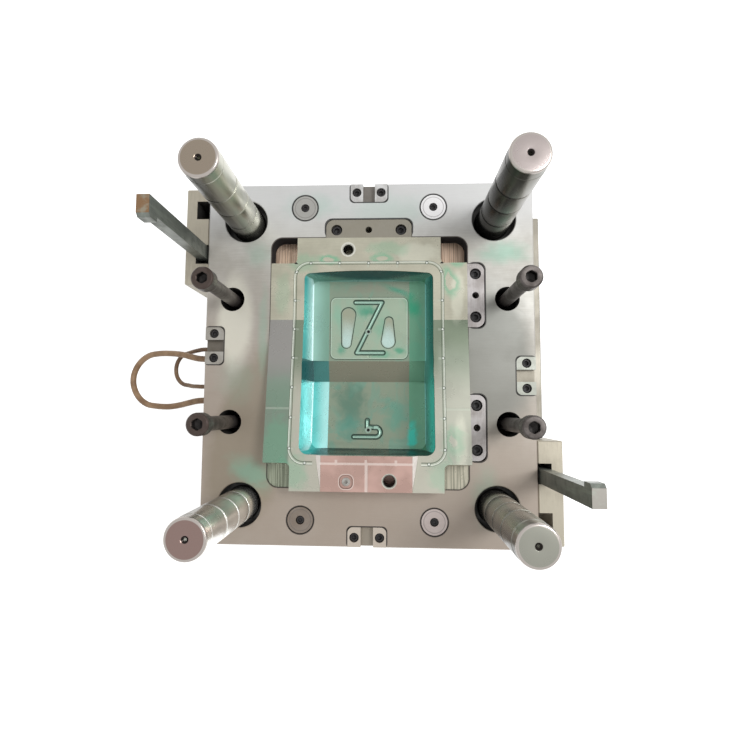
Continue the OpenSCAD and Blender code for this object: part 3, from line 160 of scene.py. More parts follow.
# %% [markdown]
# ## The hoses
#
# Two rubber hoses bridge pairs of nipples on the left flank. Each is stiff enough to stand out as a
# loop that droops a little under its own weight. A curve object with a bevel would give the same
# tube. Here the line is worked out as an array, and a circle is carried along it. The route's
# points are listed, and a smooth curve runs through them.

# %% Routes
HOSE_POINTS_PER_STEP = 6
HOSE_SIDES = 28
long_route = MM * np.array([
    [-264, 8, 125], [-275, 8, 125], [-287, 9, 124], [-300, 12, 121.5], [-313, 15.5, 118],
    [-326, 17.5, 114.5], [-338, 18.5, 111.5], [-351, 19, 108.5], [-364, 18.5, 105.5],
    [-379, 16, 102], [-392.5, 8, 99.5], [-402.5, -4, 98], [-408, -18.5, 97], [-408, -33.5, 97],
    [-402.5, -48, 98], [-392.5, -60, 100], [-379, -68, 102.5], [-364, -70.5, 105.5],
    [-351, -71.5, 108.5], [-338, -71.5, 111.5], [-325, -70, 114.5], [-312, -67.5, 118],
    [-299, -64.5, 121.5], [-287, -62, 124], [-275, -61, 125], [-264, -61, 125]])
short_route = MM * np.array([
    [-264, 24, 125], [-272, 24, 125], [-280.5, 24, 123], [-289, 23, 119], [-297.5, 22, 113.5],
    [-306.5, 20.5, 107.5], [-319.5, 18, 99.5], [-328.5, 12, 95], [-334.5, 3, 92],
    [-336.5, -7.5, 91], [-334.5, -18, 92], [-328.5, -27, 95], [-319.5, -33, 99.5],
    [-306.5, -35.5, 107.5], [-297.5, -37, 113.5], [-289, -37.5, 119], [-280.5, -38, 123],
    [-272, -38, 125], [-264, -38, 125]])
print("routes:", len(long_route), "and", len(short_route), "points")

# %% Line and tube
def smooth_line(route):
    """Catmull-Rom curve through the route's points.

    Between two points it is the cubic whose slope at each is half the step between its neighbours.
    """
    padded = np.vstack([2 * route[0] - route[1], route, 2 * route[-1] - route[-2]])
    before, a, b, after = padded[:-3], padded[1:-2], padded[2:-1], padded[3:]
    t = (np.arange(HOSE_POINTS_PER_STEP) / HOSE_POINTS_PER_STEP)[None, :, None]
    before, a, b, after = (part[:, None, :] for part in (before, a, b, after))
    line = 0.5 * (2 * a + (b - before) * t + (2 * before - 5 * a + 4 * b - after) * t ** 2
                  + (3 * a - before - 3 * b + after) * t ** 3)
    return np.vstack([line.reshape(-1, 3), route[-1]])


def tube(line, radius):
    """A circle carried along the line, square to it.

    The circle's first axis is the line's direction crossed with the upward one, and its second is
    square to both, so the tube doesn't twist as long as the line never points straight up.
    """
    along = np.gradient(line, axis=0)
    along /= np.linalg.norm(along, axis=1, keepdims=True)
    side = np.cross(along, [0, 0, 1])
    side /= np.linalg.norm(side, axis=1, keepdims=True)
    lift = np.cross(side, along)
    angle = np.linspace(0, 2 * np.pi, HOSE_SIDES, endpoint=False)[None, :, None]
    circle = np.cos(angle) * side[:, None] - np.sin(angle) * lift[:, None]
    return skin(line[:, None] + radius * circle, line[0], line[-1])


print("smooth lines:", len(smooth_line(long_route)), "and", len(smooth_line(short_route)), "points")

# %% [markdown]
# ## Light
#
# The photograph has soft daylight, a little stronger from the right, so surfaces that face right
# are bright and those that face left are dark. An image of a room could light it as well; a plain
# world for the even part and one large lamp for the rest are enough, and easy to set. Camera and
# mirror rays see a white world, so that steel has something pale to reflect.

# %% World
WORLD_LIGHT = 0.5


def pale_rays(tree):
    """A socket that is 1 for camera, mirror and glass rays, and 0 for the light itself."""
    path = tree.nodes.new("ShaderNodeLightPath")
    total = path.outputs["Is Camera Ray"]
    for kind in ("Is Glossy Ray", "Is Transmission Ray"):
        add = tree.nodes.new("ShaderNodeMath")
        add.operation = "MAXIMUM"
        tree.links.new(total, add.inputs[0])
        tree.links.new(path.outputs[kind], add.inputs[1])
        total = add.outputs[0]
    return total


world = bpy.data.worlds.new("daylight")
world.use_nodes = True
bpy.context.scene.world = world
sky = world.node_tree.nodes["Background"]
sky.inputs["Color"].default_value = (1, 1, 1, 1)
level = world.node_tree.nodes.new("ShaderNodeMapRange")
level.inputs["To Min"].default_value = WORLD_LIGHT
level.inputs["To Max"].default_value = 1
world.node_tree.links.new(pale_rays(world.node_tree), level.inputs["Value"])
world.node_tree.links.new(level.outputs["Result"], sky.inputs["Strength"])
bpy.context.scene.view_settings.view_transform = "Standard"
print("world: gives light", WORLD_LIGHT, "and looks white")

# %% Lamp
LAMP_WATTS = 34
LAMP_SIDE = 0.9
LAMP_PLACE = Vector((1.5, 0.5, 2.5))

key = bpy.data.lights.new("window", "AREA")
key.energy = LAMP_WATTS
key.size = LAMP_SIDE
key_lamp = bpy.data.objects.new("window", key)
key_lamp.location = LAMP_PLACE
key_lamp.rotation_mode = "QUATERNION"
key_lamp.rotation_quaternion = LAMP_PLACE.to_track_quat("Z", "Y")
bpy.context.scene.collection.objects.link(key_lamp)
print("window lamp:", LAMP_WATTS, "W, at", round(LAMP_PLACE.length, 2), "m")

# %% Floor
FLOOR_SIDE = 12
FLOOR_GREY = 0.85
FLOOR_GLOW = 0.75

floor_mesh = bpy.data.meshes.new("floor")
half = FLOOR_SIDE / 2
floor_mesh.from_pydata([(-half, -half, 0), (half, -half, 0), (half, half, 0), (-half, half, 0)],
                       [], [(0, 1, 2, 3)])
floor = bpy.data.objects.new("floor", floor_mesh)
bpy.context.scene.collection.objects.link(floor)
paper = bpy.data.materials.new("paper")
paper.use_nodes = True
floor_mesh.materials.append(paper)
paint = paper.node_tree.nodes["Principled BSDF"]
paint.inputs["Base Color"].default_value = (FLOOR_GREY, FLOOR_GREY, FLOOR_GREY, 1)
paint.inputs["Roughness"].default_value = 0.9
paint.inputs["Emission Color"].default_value = (1, 1, 1, 1)
glow = paper.node_tree.nodes.new("ShaderNodeMath")
glow.operation = "MULTIPLY"
glow.inputs[1].default_value = FLOOR_GLOW
paper.node_tree.links.new(pale_rays(paper.node_tree), glow.inputs[0])
paper.node_tree.links.new(glow.outputs[0], paint.inputs["Emission Strength"])
print("floor:", FLOOR_SIDE, "m wide, glows only for the camera and in mirrors")

# %% [markdown]
# ## Finishes
#
# All finishes are mixed from the same few helpers: clouds of noise, lines of noise stretched along
# a grinding direction, and masks. The nodes could be placed by hand in the editor, but sixteen
# steels share one recipe, and functions keep them alike. They all read Object coordinates, in
# metres, which are the mould's own coordinates.

# %% Mixing helpers
def linear(hex_colour):
    """A hex colour as linear light: each channel to the power 2.4, after the sRGB offset."""
    value = np.array([int(hex_colour[i:i + 2], 16) for i in (1, 3, 5)]) / 255
    light = np.where(value <= 0.04045, value / 12.92, ((value + 0.055) / 1.055) ** 2.4)
    return (*light.tolist(), 1)


class Mix:
    """A material under way: short names for adding nodes to it and joining them."""

    def __init__(self, name, metallic, roughness, **sockets):
        """Starts the material. Shader sockets are named with _ for their spaces."""
        self.material = bpy.data.materials.new(name)
        self.material.use_nodes = True
        self.tree = self.material.node_tree
        self.shader = self.tree.nodes["Principled BSDF"]
        self.shader.inputs["Metallic"].default_value = metallic
        self.shader.inputs["Roughness"].default_value = roughness
        for socket, value in sockets.items():
            self.shader.inputs[socket.replace("_", " ")].default_value = value
        self.place = self.tree.nodes.new("ShaderNodeTexCoord").outputs["Object"]
        split = self.tree.nodes.new("ShaderNodeSeparateXYZ")
        self.put(self.place, split.inputs[0])
        self.x, self.y, self.z = split.outputs

    def put(self, value, socket):
        """Links a socket to another, or sets its value."""
        if isinstance(value, bpy.types.NodeSocket):
            self.tree.links.new(value, socket)
        else:
            socket.default_value = value

    def math(self, operation, a, b=0.0, c=0.0):
        """One step of arithmetic on sockets or numbers."""
        step = self.tree.nodes.new("ShaderNodeMath")
        step.operation = operation
        for value, socket in zip((a, b, c), step.inputs):
            self.put(value, socket)
        return step.outputs[0]

    def ramp(self, value, low, high, to_low=0.0, to_high=1.0, kind="SMOOTHSTEP"):
        """Moves value's range from low..high to to_low..to_high, held at both ends."""
        step = self.tree.nodes.new("ShaderNodeMapRange")
        step.interpolation_type = kind
        for given, name in ((value, "Value"), (low, "From Min"), (high, "From Max"),
                            (to_low, "To Min"), (to_high, "To Max")):
            self.put(given, step.inputs[name])
        return step.outputs["Result"]

    def noise(self, size, stretch=(1, 1, 1), detail=3.0, rough=0.55, warp=0.0):
        """Noise with blobs of about that size in metres, longer along the stretched axes."""
        scale = self.tree.nodes.new("ShaderNodeMapping")
        scale.vector_type = "POINT"
        scale.inputs["Scale"].default_value = [1 / (size * s) for s in stretch]
        self.put(self.place, scale.inputs["Vector"])
        cloud = self.tree.nodes.new("ShaderNodeTexNoise")
        cloud.inputs["Scale"].default_value = 1
        cloud.inputs["Detail"].default_value = detail
        cloud.inputs["Roughness"].default_value = rough
        cloud.inputs["Distortion"].default_value = warp
        self.put(scale.outputs[0], cloud.inputs["Vector"])
        return cloud.outputs["Fac"]

    def blend(self, share, a, b, mode="MIX"):
        """Colour a where share is 0 and b where it is 1."""
        mix = self.tree.nodes.new("ShaderNodeMix")
        mix.data_type = "RGBA"
        mix.blend_type = mode
        colours = [socket for socket in mix.inputs if socket.type == "RGBA"]
        self.put(share, mix.inputs[0])
        for value, socket in zip((a, b), colours):
            self.put(linear(value) if isinstance(value, str) else value, socket)
        return [socket for socket in mix.outputs if socket.type == "RGBA"][0]

    def lay(self, share, colour, over, amount=1.0):
        """Lays a colour over another where share is 1, by the amount."""
        if amount != 1.0:
            share = self.math("MULTIPLY", share, amount)
        return self.blend(share, over, colour)

    def finish(self, colour, rough, height, depth):
        """Joins colour, roughness and bump height to the shader, and returns the material."""
        self.put(colour, self.shader.inputs["Base Color"])
        self.put(rough, self.shader.inputs["Roughness"])
        bump = self.tree.nodes.new("ShaderNodeBump")
        bump.inputs["Strength"].default_value = 1
        bump.inputs["Distance"].default_value = depth
        self.put(height, bump.inputs["Height"])
        self.put(bump.outputs["Normal"], self.shader.inputs["Normal"])
        return self.material


print("white as linear light:", linear("#FFFFFF"), "and mid grey:", round(linear("#808080")[0], 3))

# %% [markdown]
# ### Masks by place
#
# A mask is a number from 0 to 1 all over the steel, 1 where a tone goes. It could be painted by
# hand as an image. Distances worked out from the place keep their edges sharp from close by
# instead, and they follow the sizes that they are worked out from.

# %% Masks
RAG_SIZE, STREAK_SIZE = 22 * MM, 12 * MM


class Places(Mix):
    """A material under way that tells places on the mould apart by their distances.

    rags and streaks are noises, each made when first needed, and dull is a mask of painted shade
    that a paint function may set.
    """

    rags = streaks = dull = None

    def hypot(self, a, b):
        """Root of the sum of both squares."""
        return self.math("SQRT", self.math("MULTIPLY_ADD", a, a, self.math("MULTIPLY", b, b)))

    def from_axis(self, x, y, mirrored=False):
        """Distance in plan from (x, y), or from that point's four mirror images."""
        across = self.math("ABSOLUTE", self.x) if mirrored else self.x
        along = self.math("ABSOLUTE", self.y) if mirrored else self.y
        return self.hypot(self.math("SUBTRACT", across, x), self.math("SUBTRACT", along, y))

    def rags_up(self):
        """Noise about 0 that hardly changes along Z: streaks up a pillar, made once."""
        if self.streaks is None:
            streaks = self.noise(STREAK_SIZE, stretch=(1, 1, 25))
            self.streaks = self.math("SUBTRACT", streaks, 0.5)
        return self.streaks

    def between(self, value, low, high, soft=0.0004):
        """1 where the value is between low and high, with soft edges."""
        rise = self.ramp(value, low - soft, low + soft)
        fall = self.ramp(value, high - soft, high + soft, 1.0, 0.0)
        return self.math("MULTIPLY", rise, fall)

    def near(self, point, radius, soft):
        """1 within the radius of a point, fading to 0 over the soft share of it."""
        away = self.tree.nodes.new("ShaderNodeVectorMath")
        away.operation = "DISTANCE"
        self.put(self.place, away.inputs[0])
        away.inputs[1].default_value = point
        return self.ramp(away.outputs["Value"], radius * (1 - soft), radius, 1.0, 0.0)

    def spot(self, x, y, half_x, half_y, turn=0.0, hollow=0.0, *, soft, ragged):
        """1 inside an ellipse turned by some degrees, with a soft and ragged rim.

        The ellipse's own radius is the root of the sum of squares of both coordinates over their
        half widths, plus a share of noise. hollow empties the ellipse up to that radius.
        """
        cos, sin = math.cos(math.radians(turn)), math.sin(math.radians(turn))
        across = self.math("SUBTRACT", self.x, x)
        up = self.math("SUBTRACT", self.y, y)
        part_u = self.math("MULTIPLY", up, sin / half_x)
        part_v = self.math("MULTIPLY", across, -sin / half_y)
        radius = self.hypot(self.math("MULTIPLY_ADD", across, cos / half_x, part_u),
                            self.math("MULTIPLY_ADD", up, cos / half_y, part_v))
        if self.rags is None:
            self.rags = self.math("SUBTRACT", self.noise(RAG_SIZE, warp=0.8), 0.5)
        radius = self.math("MULTIPLY_ADD", self.rags, 2 * ragged, radius)
        mask = self.ramp(radius, 1 - soft, 1, 1.0, 0.0)
        if hollow:
            mask = self.math("MULTIPLY", mask, self.ramp(radius, hollow * 0.6, hollow))
        return mask

    def spots(self, colour, rows, soft, ragged):
        """Lays spots over a colour: rows of a tone, its share, then what spot takes."""
        for tone, share, *ellipse in rows:
            colour = self.lay(self.spot(*ellipse, soft=soft, ragged=ragged), tone, colour, share)
        return colour

    def outline(self, x, y, half_x, half_y, corner):
        """Distance outwards from a rectangle with round corners, negative inside it.

        Past the corner arcs' centres it is the distance from them less the corner's radius.
        """
        over_x = self.math("SUBTRACT", self.math("ABSOLUTE", self.math("SUBTRACT", self.x, x)),
                           half_x - corner)
        over_y = self.math("SUBTRACT", self.math("ABSOLUTE", self.math("SUBTRACT", self.y, y)),
                           half_y - corner)
        out_x, out_y = self.math("MAXIMUM", over_x, 0.0), self.math("MAXIMUM", over_y, 0.0)
        outside = self.hypot(out_x, out_y)
        inside = self.math("MINIMUM", self.math("MAXIMUM", over_x, over_y), 0.0)
        return self.math("SUBTRACT", self.math("ADD", outside, inside), corner)

    def capsule(self, start, start_r, end, end_r):
        """Distance outwards from a tapered slot's rim, negative inside it.

        It is the distance from the middle line less a radius that changes evenly along the line.
        """
        way = np.subtract(end, start)
        length = float(np.hypot(*way))
        way = way / length
        dx = self.math("SUBTRACT", self.x, start[0])
        dy = self.math("SUBTRACT", self.y, start[1])
        along = self.math("MULTIPLY_ADD", dx, way[0], self.math("MULTIPLY", dy, way[1]))
        off = self.math("MULTIPLY_ADD", dy, way[0], self.math("MULTIPLY", dx, -way[1]))
        past = self.math("SUBTRACT", along, self.ramp(along, 0, length, 0, length, "LINEAR"))
        return self.math("SUBTRACT", self.hypot(off, past),
                         self.ramp(along, 0, length, start_r, end_r, "LINEAR"))


print("masks and distances:", ", ".join(name for name in vars(Places) if name[0] != "_"))

# %% [markdown]
# ### Rubber
#
# The hoses are brown rubber, slightly uneven in colour and shine. Broad noise is enough for that,
# because the hoses are too thin to show its pattern. A fine grain as a bump breaks up the shine.

# %% Rubber
LONG_HOSE_D, SHORT_HOSE_D = 10 * MM, 7 * MM
CLOUD_SIZE, GRAIN_SIZE, GRAIN_DEPTH = 20 * MM, 1.2 * MM, 0.12 * MM


def rubber(name, light, dark):
    """Rubber that is lighter and shinier where its broad noise is high."""
    mix = Mix(name, 0.0, 0.42, Specular_IOR_Level=0.45)
    clouds = mix.noise(CLOUD_SIZE, detail=4.0)
    grain = mix.noise(GRAIN_SIZE, detail=2.0)
    colour = mix.blend(mix.ramp(clouds, 0.35, 0.65), dark, light)
    return mix.finish(colour, mix.ramp(clouds, 0.3, 0.7, 0.5, 0.36), grain, GRAIN_DEPTH)


long_rubber = rubber("long_hose_rubber", "#A98A6B", "#8A6C50")
short_rubber = rubber("short_hose_rubber", "#94775A", "#755A43")
for name, route, diameter, finish in (("long_hose", long_route, LONG_HOSE_D, long_rubber),
                                      ("short_hose", short_route, SHORT_HOSE_D, short_rubber)):
    line = smooth_line(route)
    hose = piece(name + "_rubber", tube(line, diameter / 2), finish, "cavity_side",
                 name)

# %% [markdown]
# ### Steel
#
# Every steel face starts from the same recipe: a warm grey that wanders a little, fine lines along
# the way it was ground, small dark specks, and a roughness that follows the same clouds. An image
# of steel would need a layout for every part, while noise on Object coordinates runs through
# corners.

# %% Steel recipe
LINES_X, LINES_Y, LINES_Z, TURNED = (30, 1, 1), (1, 30, 1), (1, 1, 30), (6, 6, 0.6)
LINE_SIZE, SPECK_SIZE = 0.9 * MM, 3.5 * MM
finishes = {}


def steel(name, light, dark, along=(1, 1, 1), metallic=0.55, rough=(0.34, 0.5), depth=0.06 * MM,
          wander=0.09, paint=None, shine=0.5):
    """Ground steel. paint(mix, colour) may lay colour over it and returns the new colour.

    Where paint sets its mask of painted shade, the steel there loses its metal and its shine, so
    that the shade stays dark.
    """
    mix = Places(name, metallic, rough[0], Specular_IOR_Level=shine)
    clouds = mix.noise(wander, detail=5.0, rough=0.6)
    lines = mix.noise(LINE_SIZE, stretch=along, detail=3.0)
    specks = mix.noise(SPECK_SIZE, detail=2.0)
    tone = mix.math("ADD", mix.math("MULTIPLY", clouds, 0.75), mix.math("MULTIPLY", lines, 0.25))
    colour = mix.blend(mix.ramp(tone, 0.36, 0.64), dark, light)
    dots = mix.ramp(specks, 0.72, 0.78, 0.0, 0.35)
    colour = mix.blend(dots, colour, dark, "MULTIPLY")
    if paint:
        colour = paint(mix, colour)
    roughness = mix.ramp(clouds, 0.3, 0.7, rough[1], rough[0])
    # Painted shade: no metal and full roughness where the mask is set, so that it stays dark.
    if mix.dull is not None:
        mix.put(mix.math("MULTIPLY_ADD", mix.dull, -metallic, metallic),
                mix.shader.inputs["Metallic"])
        roughness = mix.math("MAXIMUM", roughness, mix.dull)
    finishes[name] = mix.finish(colour, roughness, lines, depth)
    return finishes[name]


steel("runner_steel", "#BEBBB4", "#A19D95", LINES_X)
steel("clamp_steel", "#B8B5AD", "#99958C", LINES_X)
steel("manifold_steel", "#A6A195", "#8E897E", LINES_Y)
steel("pin_steel", "#B5B2AC", "#94918B", TURNED, wander=0.01)
steel("brass", "#B8965A", "#8F7140", TURNED, metallic=0.85, wander=0.01)
screw_black = steel("screw_black", "#3A3839", "#222021", TURNED, metallic=0.0, rough=(0.4, 0.55),
                    wander=0.006, shine=0.3)
print("plain finishes:", ", ".join(finishes))

# %% [markdown]
# ### The cavity plate
#
# The plate mirrors the room, and painted reflections make it cool at its upper end and warm at the
# lower one, with broad darker and lighter patches; it is also smudged with spotting ink. The parts
# let into it stand in narrow gaps. The gaps are real but only a hair wide, and light still finds
# its way in, so a dark line of painted shadow is laid along each, and the walls of the pocket and
# the holes get painted shade, dark and matt.

# %% Plate
FACE_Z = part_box("cavity_plate")[1].z
PILLAR = middle("guide_pillar_upper_right")
BOLT = middle("stop_bolt_upper_right")
PAD = middle("stop_pad_upper_right")
PILLAR_HOLE_R, BOLT_HOLE_R = 37.5 * MM, 19 * MM
POCKET = (0, 0, 0.15, 0.19, 0.017)
GAPS_ROUND = (
    (0, 0.2045, 0.0665, 0.0145, 0.010),
    (0.163, 0.0995, 0.013, 0.0495, 0.010),
    (0.163, -0.0995, 0.013, 0.0495, 0.010),
    (0, 0.26075, 0.0285, 0.01425, 0.006),
    (0, -0.26075, 0.0285, 0.01425, 0.006),
    (-0.23575, 0.022, 0.01425, 0.0285, 0.006),
    (0.23575, -0.022, 0.01425, 0.0285, 0.006))
PLATE_INK = "#7FBFA6"


def plate_paint(mix, colour):
    """Painted reflections over the whole plate, ink spots, painted shadow in the gaps, then painted
    shade down the openings' sides.
    """
    # Painted reflection: warm towards the lower end, cool and pale towards the upper one.
    warm = mix.ramp(mix.math("MULTIPLY_ADD", mix.x, 0.25, mix.y), 0.2, -0.16)
    colour = mix.lay(warm, "#A8998B", colour, 0.85)
    colour = mix.lay(mix.ramp(mix.y, 0.17, 0.25), "#D9DADB", colour, 0.7)
    # Painted reflections: broad patches, darker at the lower left and on the right, lighter on the
    # left.
    colour = mix.spots(colour, [("#8F8470", 0.6, -0.175, -0.12, 0.07, 0.16, -14)], 0.3, 0.1)
    colour = mix.spots(colour, [("#7F817B", 0.8, 0.19, 0.0, 0.075, 0.14),
                                ("#E4E1D2", 0.8, -0.205, 0.06, 0.035, 0.09)], 0.5, 0.1)
    colour = mix.spots(colour, [(PLATE_INK, 0.5, 0.205, 0.165, 0.05, 0.026),
                                (PLATE_INK, 0.2, 0.03, 0.232, 0.1, 0.035),
                                (PLATE_INK, 0.25, -0.17, 0.165, 0.03, 0.03),
                                (PLATE_INK, 0.25, -0.09, 0.24, 0.06, 0.03),
                                (PLATE_INK, 0.5, -0.175, -0.17, 0.05, 0.03, -30),
                                (PLATE_INK, 0.25, 0.175, -0.2, 0.03, 0.06),
                                (PLATE_INK, 0.3, -0.16, 0.04, 0.012, 0.1),
                                (PLATE_INK, 0.15, -0.2, -0.03, 0.04, 0.05)], 0.9, 0.35)
    # Painted shadow: a dark line in the gaps round each part let into the face.
    on_face = mix.ramp(mix.z, FACE_Z - 0.9 * MM, FACE_Z - 0.6 * MM)
    for opening in GAPS_ROUND:
        gap_shadow = mix.between(mix.outline(*opening), -0.3 * MM, 1.8 * MM, 0.2 * MM)
        colour = mix.lay(mix.math("MULTIPLY", gap_shadow, on_face), "#151212", colour, 0.9)
    # Painted shadow in the gaps round the stop pads.
    ring = mix.between(mix.from_axis(PAD.x, PAD.y, True), 19 * MM, 21.4 * MM, 0.2 * MM)
    colour = mix.lay(ring, "#1D1A1A", colour, 0.85)
    # Painted shadow in the gaps round the insert's pocket.
    edge = mix.outline(*POCKET)
    colour = mix.lay(mix.between(edge, -0.3 * MM, 1.3 * MM, 0.3 * MM), "#3A322D", colour, 0.9)
    # Painted shade, dark and matt, down the pocket's sides and in the holes round the pillars and
    # bolts, below the face.
    open_here = mix.ramp(edge, 0.4 * MM, 0.2 * MM)
    for hole, radius in ((PILLAR, PILLAR_HOLE_R), (BOLT, BOLT_HOLE_R)):
        inside = mix.ramp(mix.from_axis(hole.x, hole.y, True), radius + MM, radius + 0.6 * MM)
        open_here = mix.math("MAXIMUM", open_here, inside)
    below_face = mix.ramp(mix.z, FACE_Z - 0.8 * MM, FACE_Z - 1.5 * MM)
    mix.dull = mix.math("MULTIPLY", open_here, below_face)
    return mix.lay(mix.dull, "#1B1817", colour, 0.95)


steel("plate_steel", "#CDCCC6", "#B4B1A9", LINES_X, metallic=0.35, paint=plate_paint)
print("plate: face at", round(FACE_Z, 3), "m, with", len(GAPS_ROUND), "openings on its face")

# %% [markdown]
# ### Pillars and bushes
#
# The pillars are hardened and polished, so they mirror the room. That is painted on: the camera
# sees each pillar from another side, so each has a painted tone of its own, and a painted shade
# along one side that lies its own way. The bushes' steel is painted dark as the shade in their
# holes, but for the ground faces of the small ones.

# %% Pillars and bushes
PILLAR_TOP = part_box("guide_pillar_upper_right")[1].z
PILLAR_R = 25 * MM


def pillar_paint(mix, colour):
    """Each pillar's painted tone, a painted shade along one side in a direction of its own, and its
    end face.

    The painted shade lies where the distance along that direction, as a share of the radius, is
    high.
    """
    for right, up, tone, dark, dark_x, dark_y, end in (
            (-1, 1, "#C4C4B8", "#23221F", -0.8, -0.6, "#94887A"),
            (1, 1, "#6A6963", "#2B2A27", -0.95, -0.3, "#ADA3A0"),
            (-1, -1, "#FFFFFB", "#6A645A", -0.82, 0.56, "#8E7872"),
            (1, -1, "#A5A59D", "#3D3C37", -0.5, -0.86, "#99998F")):
        x, y = right * PILLAR.x, up * PILLAR.y
        own = mix.math("MULTIPLY", mix.ramp(mix.math("MULTIPLY", mix.x, x), 0, 0.001),
                       mix.ramp(mix.math("MULTIPLY", mix.y, y), 0, 0.001))
        # Painted reflection: the pillar's own tone, bright or dark as the camera sees it.
        colour = mix.lay(own, tone, colour, 0.8)
        # Painted shade along one side, ragged by streaks up the pillar.
        across = mix.math("MULTIPLY", mix.math("SUBTRACT", mix.y, y), dark_y / PILLAR_R)
        off_middle = mix.math("SUBTRACT", mix.x, x)
        by_side = mix.math("MULTIPLY_ADD", off_middle, dark_x / PILLAR_R, across)
        streak = mix.math("MULTIPLY_ADD", mix.rags_up(), 0.9, by_side)
        shaded_side = mix.math("MULTIPLY", own, mix.ramp(streak, -0.1, 0.8))
        colour = mix.lay(shaded_side, dark, colour, 0.9)
        out = mix.from_axis(x, y)
        high = mix.ramp(mix.z, PILLAR_TOP - 3.6 * MM, PILLAR_TOP - 3 * MM)
        high = mix.math("MULTIPLY", own, high)
        face = mix.blend(mix.ramp(out, 21.6 * MM, 20.8 * MM), "#B5AEA8", end)
        colour = mix.lay(high, face, colour)
        # Painted shade in the centre hole.
        centre = mix.math("MULTIPLY", high, mix.ramp(out, 4.5 * MM, 4 * MM))
        colour = mix.lay(centre, "#241F1D", colour)
    return colour


def bush_paint(mix, colour):
    """Ground end faces on the bushes in the insert, and a pale ring on the gate bushes."""
    for node, radius in (("insert_bush", 12.5 * MM), ("shelf_bush", 11.8 * MM)):
        place, top = middle(node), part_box(node)[1].z
        face = mix.math("MULTIPLY", mix.near((place.x, place.y, top), radius, 0.02),
                        mix.ramp(mix.z, top - 2.4 * MM, top - 0.6 * MM))
        colour = mix.lay(face, "#D4D3C8", colour)
    for node in ("gate_bush_upper", "gate_bush_lower"):
        out = mix.from_axis(middle(node).x, middle(node).y)
        ring = mix.math("MULTIPLY", mix.ramp(out, 5.6 * MM, 5.4 * MM),
                        mix.ramp(out, 2.4 * MM, 2.6 * MM))
        colour = mix.lay(ring, "#A9BFB0", colour, 0.9)
    return colour


pillar_steel = steel("pillar_steel", "#BDBCB2", "#A9A79D", LINES_Z, metallic=0.9,
                     rough=(0.2, 0.3), wander=0.3, paint=pillar_paint)
# Painted shade: the bushes' steel is dark as the shade in their holes.
steel("bush_steel", "#3B3A38", "#252423", TURNED, wander=0.02, paint=bush_paint, shine=0.3)
print("pillars: up to", round(PILLAR_TOP, 3), "m, at", round(PILLAR.x, 3), round(PILLAR.y, 3))

# %% [markdown]
# ### Bolts, bars, blocks, locks, wedges and pads
#
# These small parts differ in tone from copy to copy. One material per kind of part is enough,
# because a mask on the place gives every copy its own tone.

# %% Small parts
BOLT_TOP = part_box("stop_bolt_upper_right")[1].z
BAR_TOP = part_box("latch_bar_left")[1].z
BLOCK_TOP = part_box("latch_block_left")[1].z
LATCH_SLOT, SPARE_SLOT, SLOT_WALLS = (0.1498, 0.1812), (0.221, 0.251), (0.2493, 0.2712)
LOCK_SLOT = (0.1895, 0.194)


def bolt_paint(mix, colour):
    """Browner heads on the left, and painted shade deep in the sockets."""
    left = mix.ramp(mix.x, 0, -0.01)
    head = mix.ramp(mix.z, BOLT_TOP - 3.5 * MM, BOLT_TOP - 2.5 * MM)
    colour = mix.lay(mix.math("MULTIPLY", left, head), "#45362F", colour, 0.7)
    # Painted shade deep in each hexagon socket.
    for x in (-BOLT.x, BOLT.x):
        for y in (-BOLT.y, BOLT.y):
            socket = mix.near((x, y, BOLT_TOP - 8 * MM), 8.8 * MM, 0.05)
            colour = mix.lay(socket, "#171413", colour, 0.9)
    return colour


def bar_paint(mix, colour):
    """Tan on the left bar's head and pale grey on the right one's, and a pale green streaky strip.
    """
    top = mix.ramp(mix.z, BAR_TOP - 0.8 * MM, BAR_TOP - 0.2 * MM)
    side = mix.ramp(mix.x, 0.01, -0.01)
    colour = mix.lay(top, mix.blend(side, "#9E9A93", "#8C6E50"), colour)
    strip = mix.math("MULTIPLY", mix.ramp(mix.noise(STREAK_SIZE, stretch=(1, 1, 12)), 0.5, 0.7),
                     mix.ramp(mix.z, 0.26, 0.34))
    return mix.lay(strip, "#A9B3A6", colour, 0.4)


def block_paint(mix, colour):
    """Painted shade, dark and matt, inside the latch bars' slots and the left spare slot."""
    slots = mix.math("MAXIMUM", mix.between(mix.math("ABSOLUTE", mix.y), *LATCH_SLOT),
                     mix.between(mix.y, *SPARE_SLOT))
    slots = mix.math("MULTIPLY", slots, mix.between(mix.math("ABSOLUTE", mix.x), *SLOT_WALLS))
    below_top = mix.ramp(mix.z, BLOCK_TOP - 0.4 * MM, BLOCK_TOP - 0.8 * MM)
    # Painted shade inside the slots.
    mix.dull = mix.math("MULTIPLY", slots, below_top)
    return mix.lay(mix.dull, "#121110", colour, 0.97)


def lock_paint(mix, colour):
    """Each block has a tone of its own; its slot gets painted shade, darkest in the upper and the
    left one.
    """
    right, low = mix.ramp(mix.x, 0.2, 0.22), mix.ramp(mix.y, -0.2, -0.24)
    colour = mix.lay(right, "#999C92", colour, 0.9)
    colour = mix.lay(low, "#C4B8AA", colour, 0.9)
    colour = mix.lay(mix.ramp(mix.x, -0.2, -0.22), "#8E8778", colour, 0.6)
    # Painted shade in each block's slot, darker in the upper and the left one.
    slot = mix.blend(mix.math("MAXIMUM", right, low), "#5A5247", "#8B8375")
    return mix.lay(mix.between(mix.z, *LOCK_SLOT), slot, colour, 0.8)


def wedge_paint(mix, colour):
    """The upper wedge is browner than the two at the side."""
    return mix.lay(mix.ramp(mix.y, 0.17, 0.18), "#8B8677", colour, 0.85)


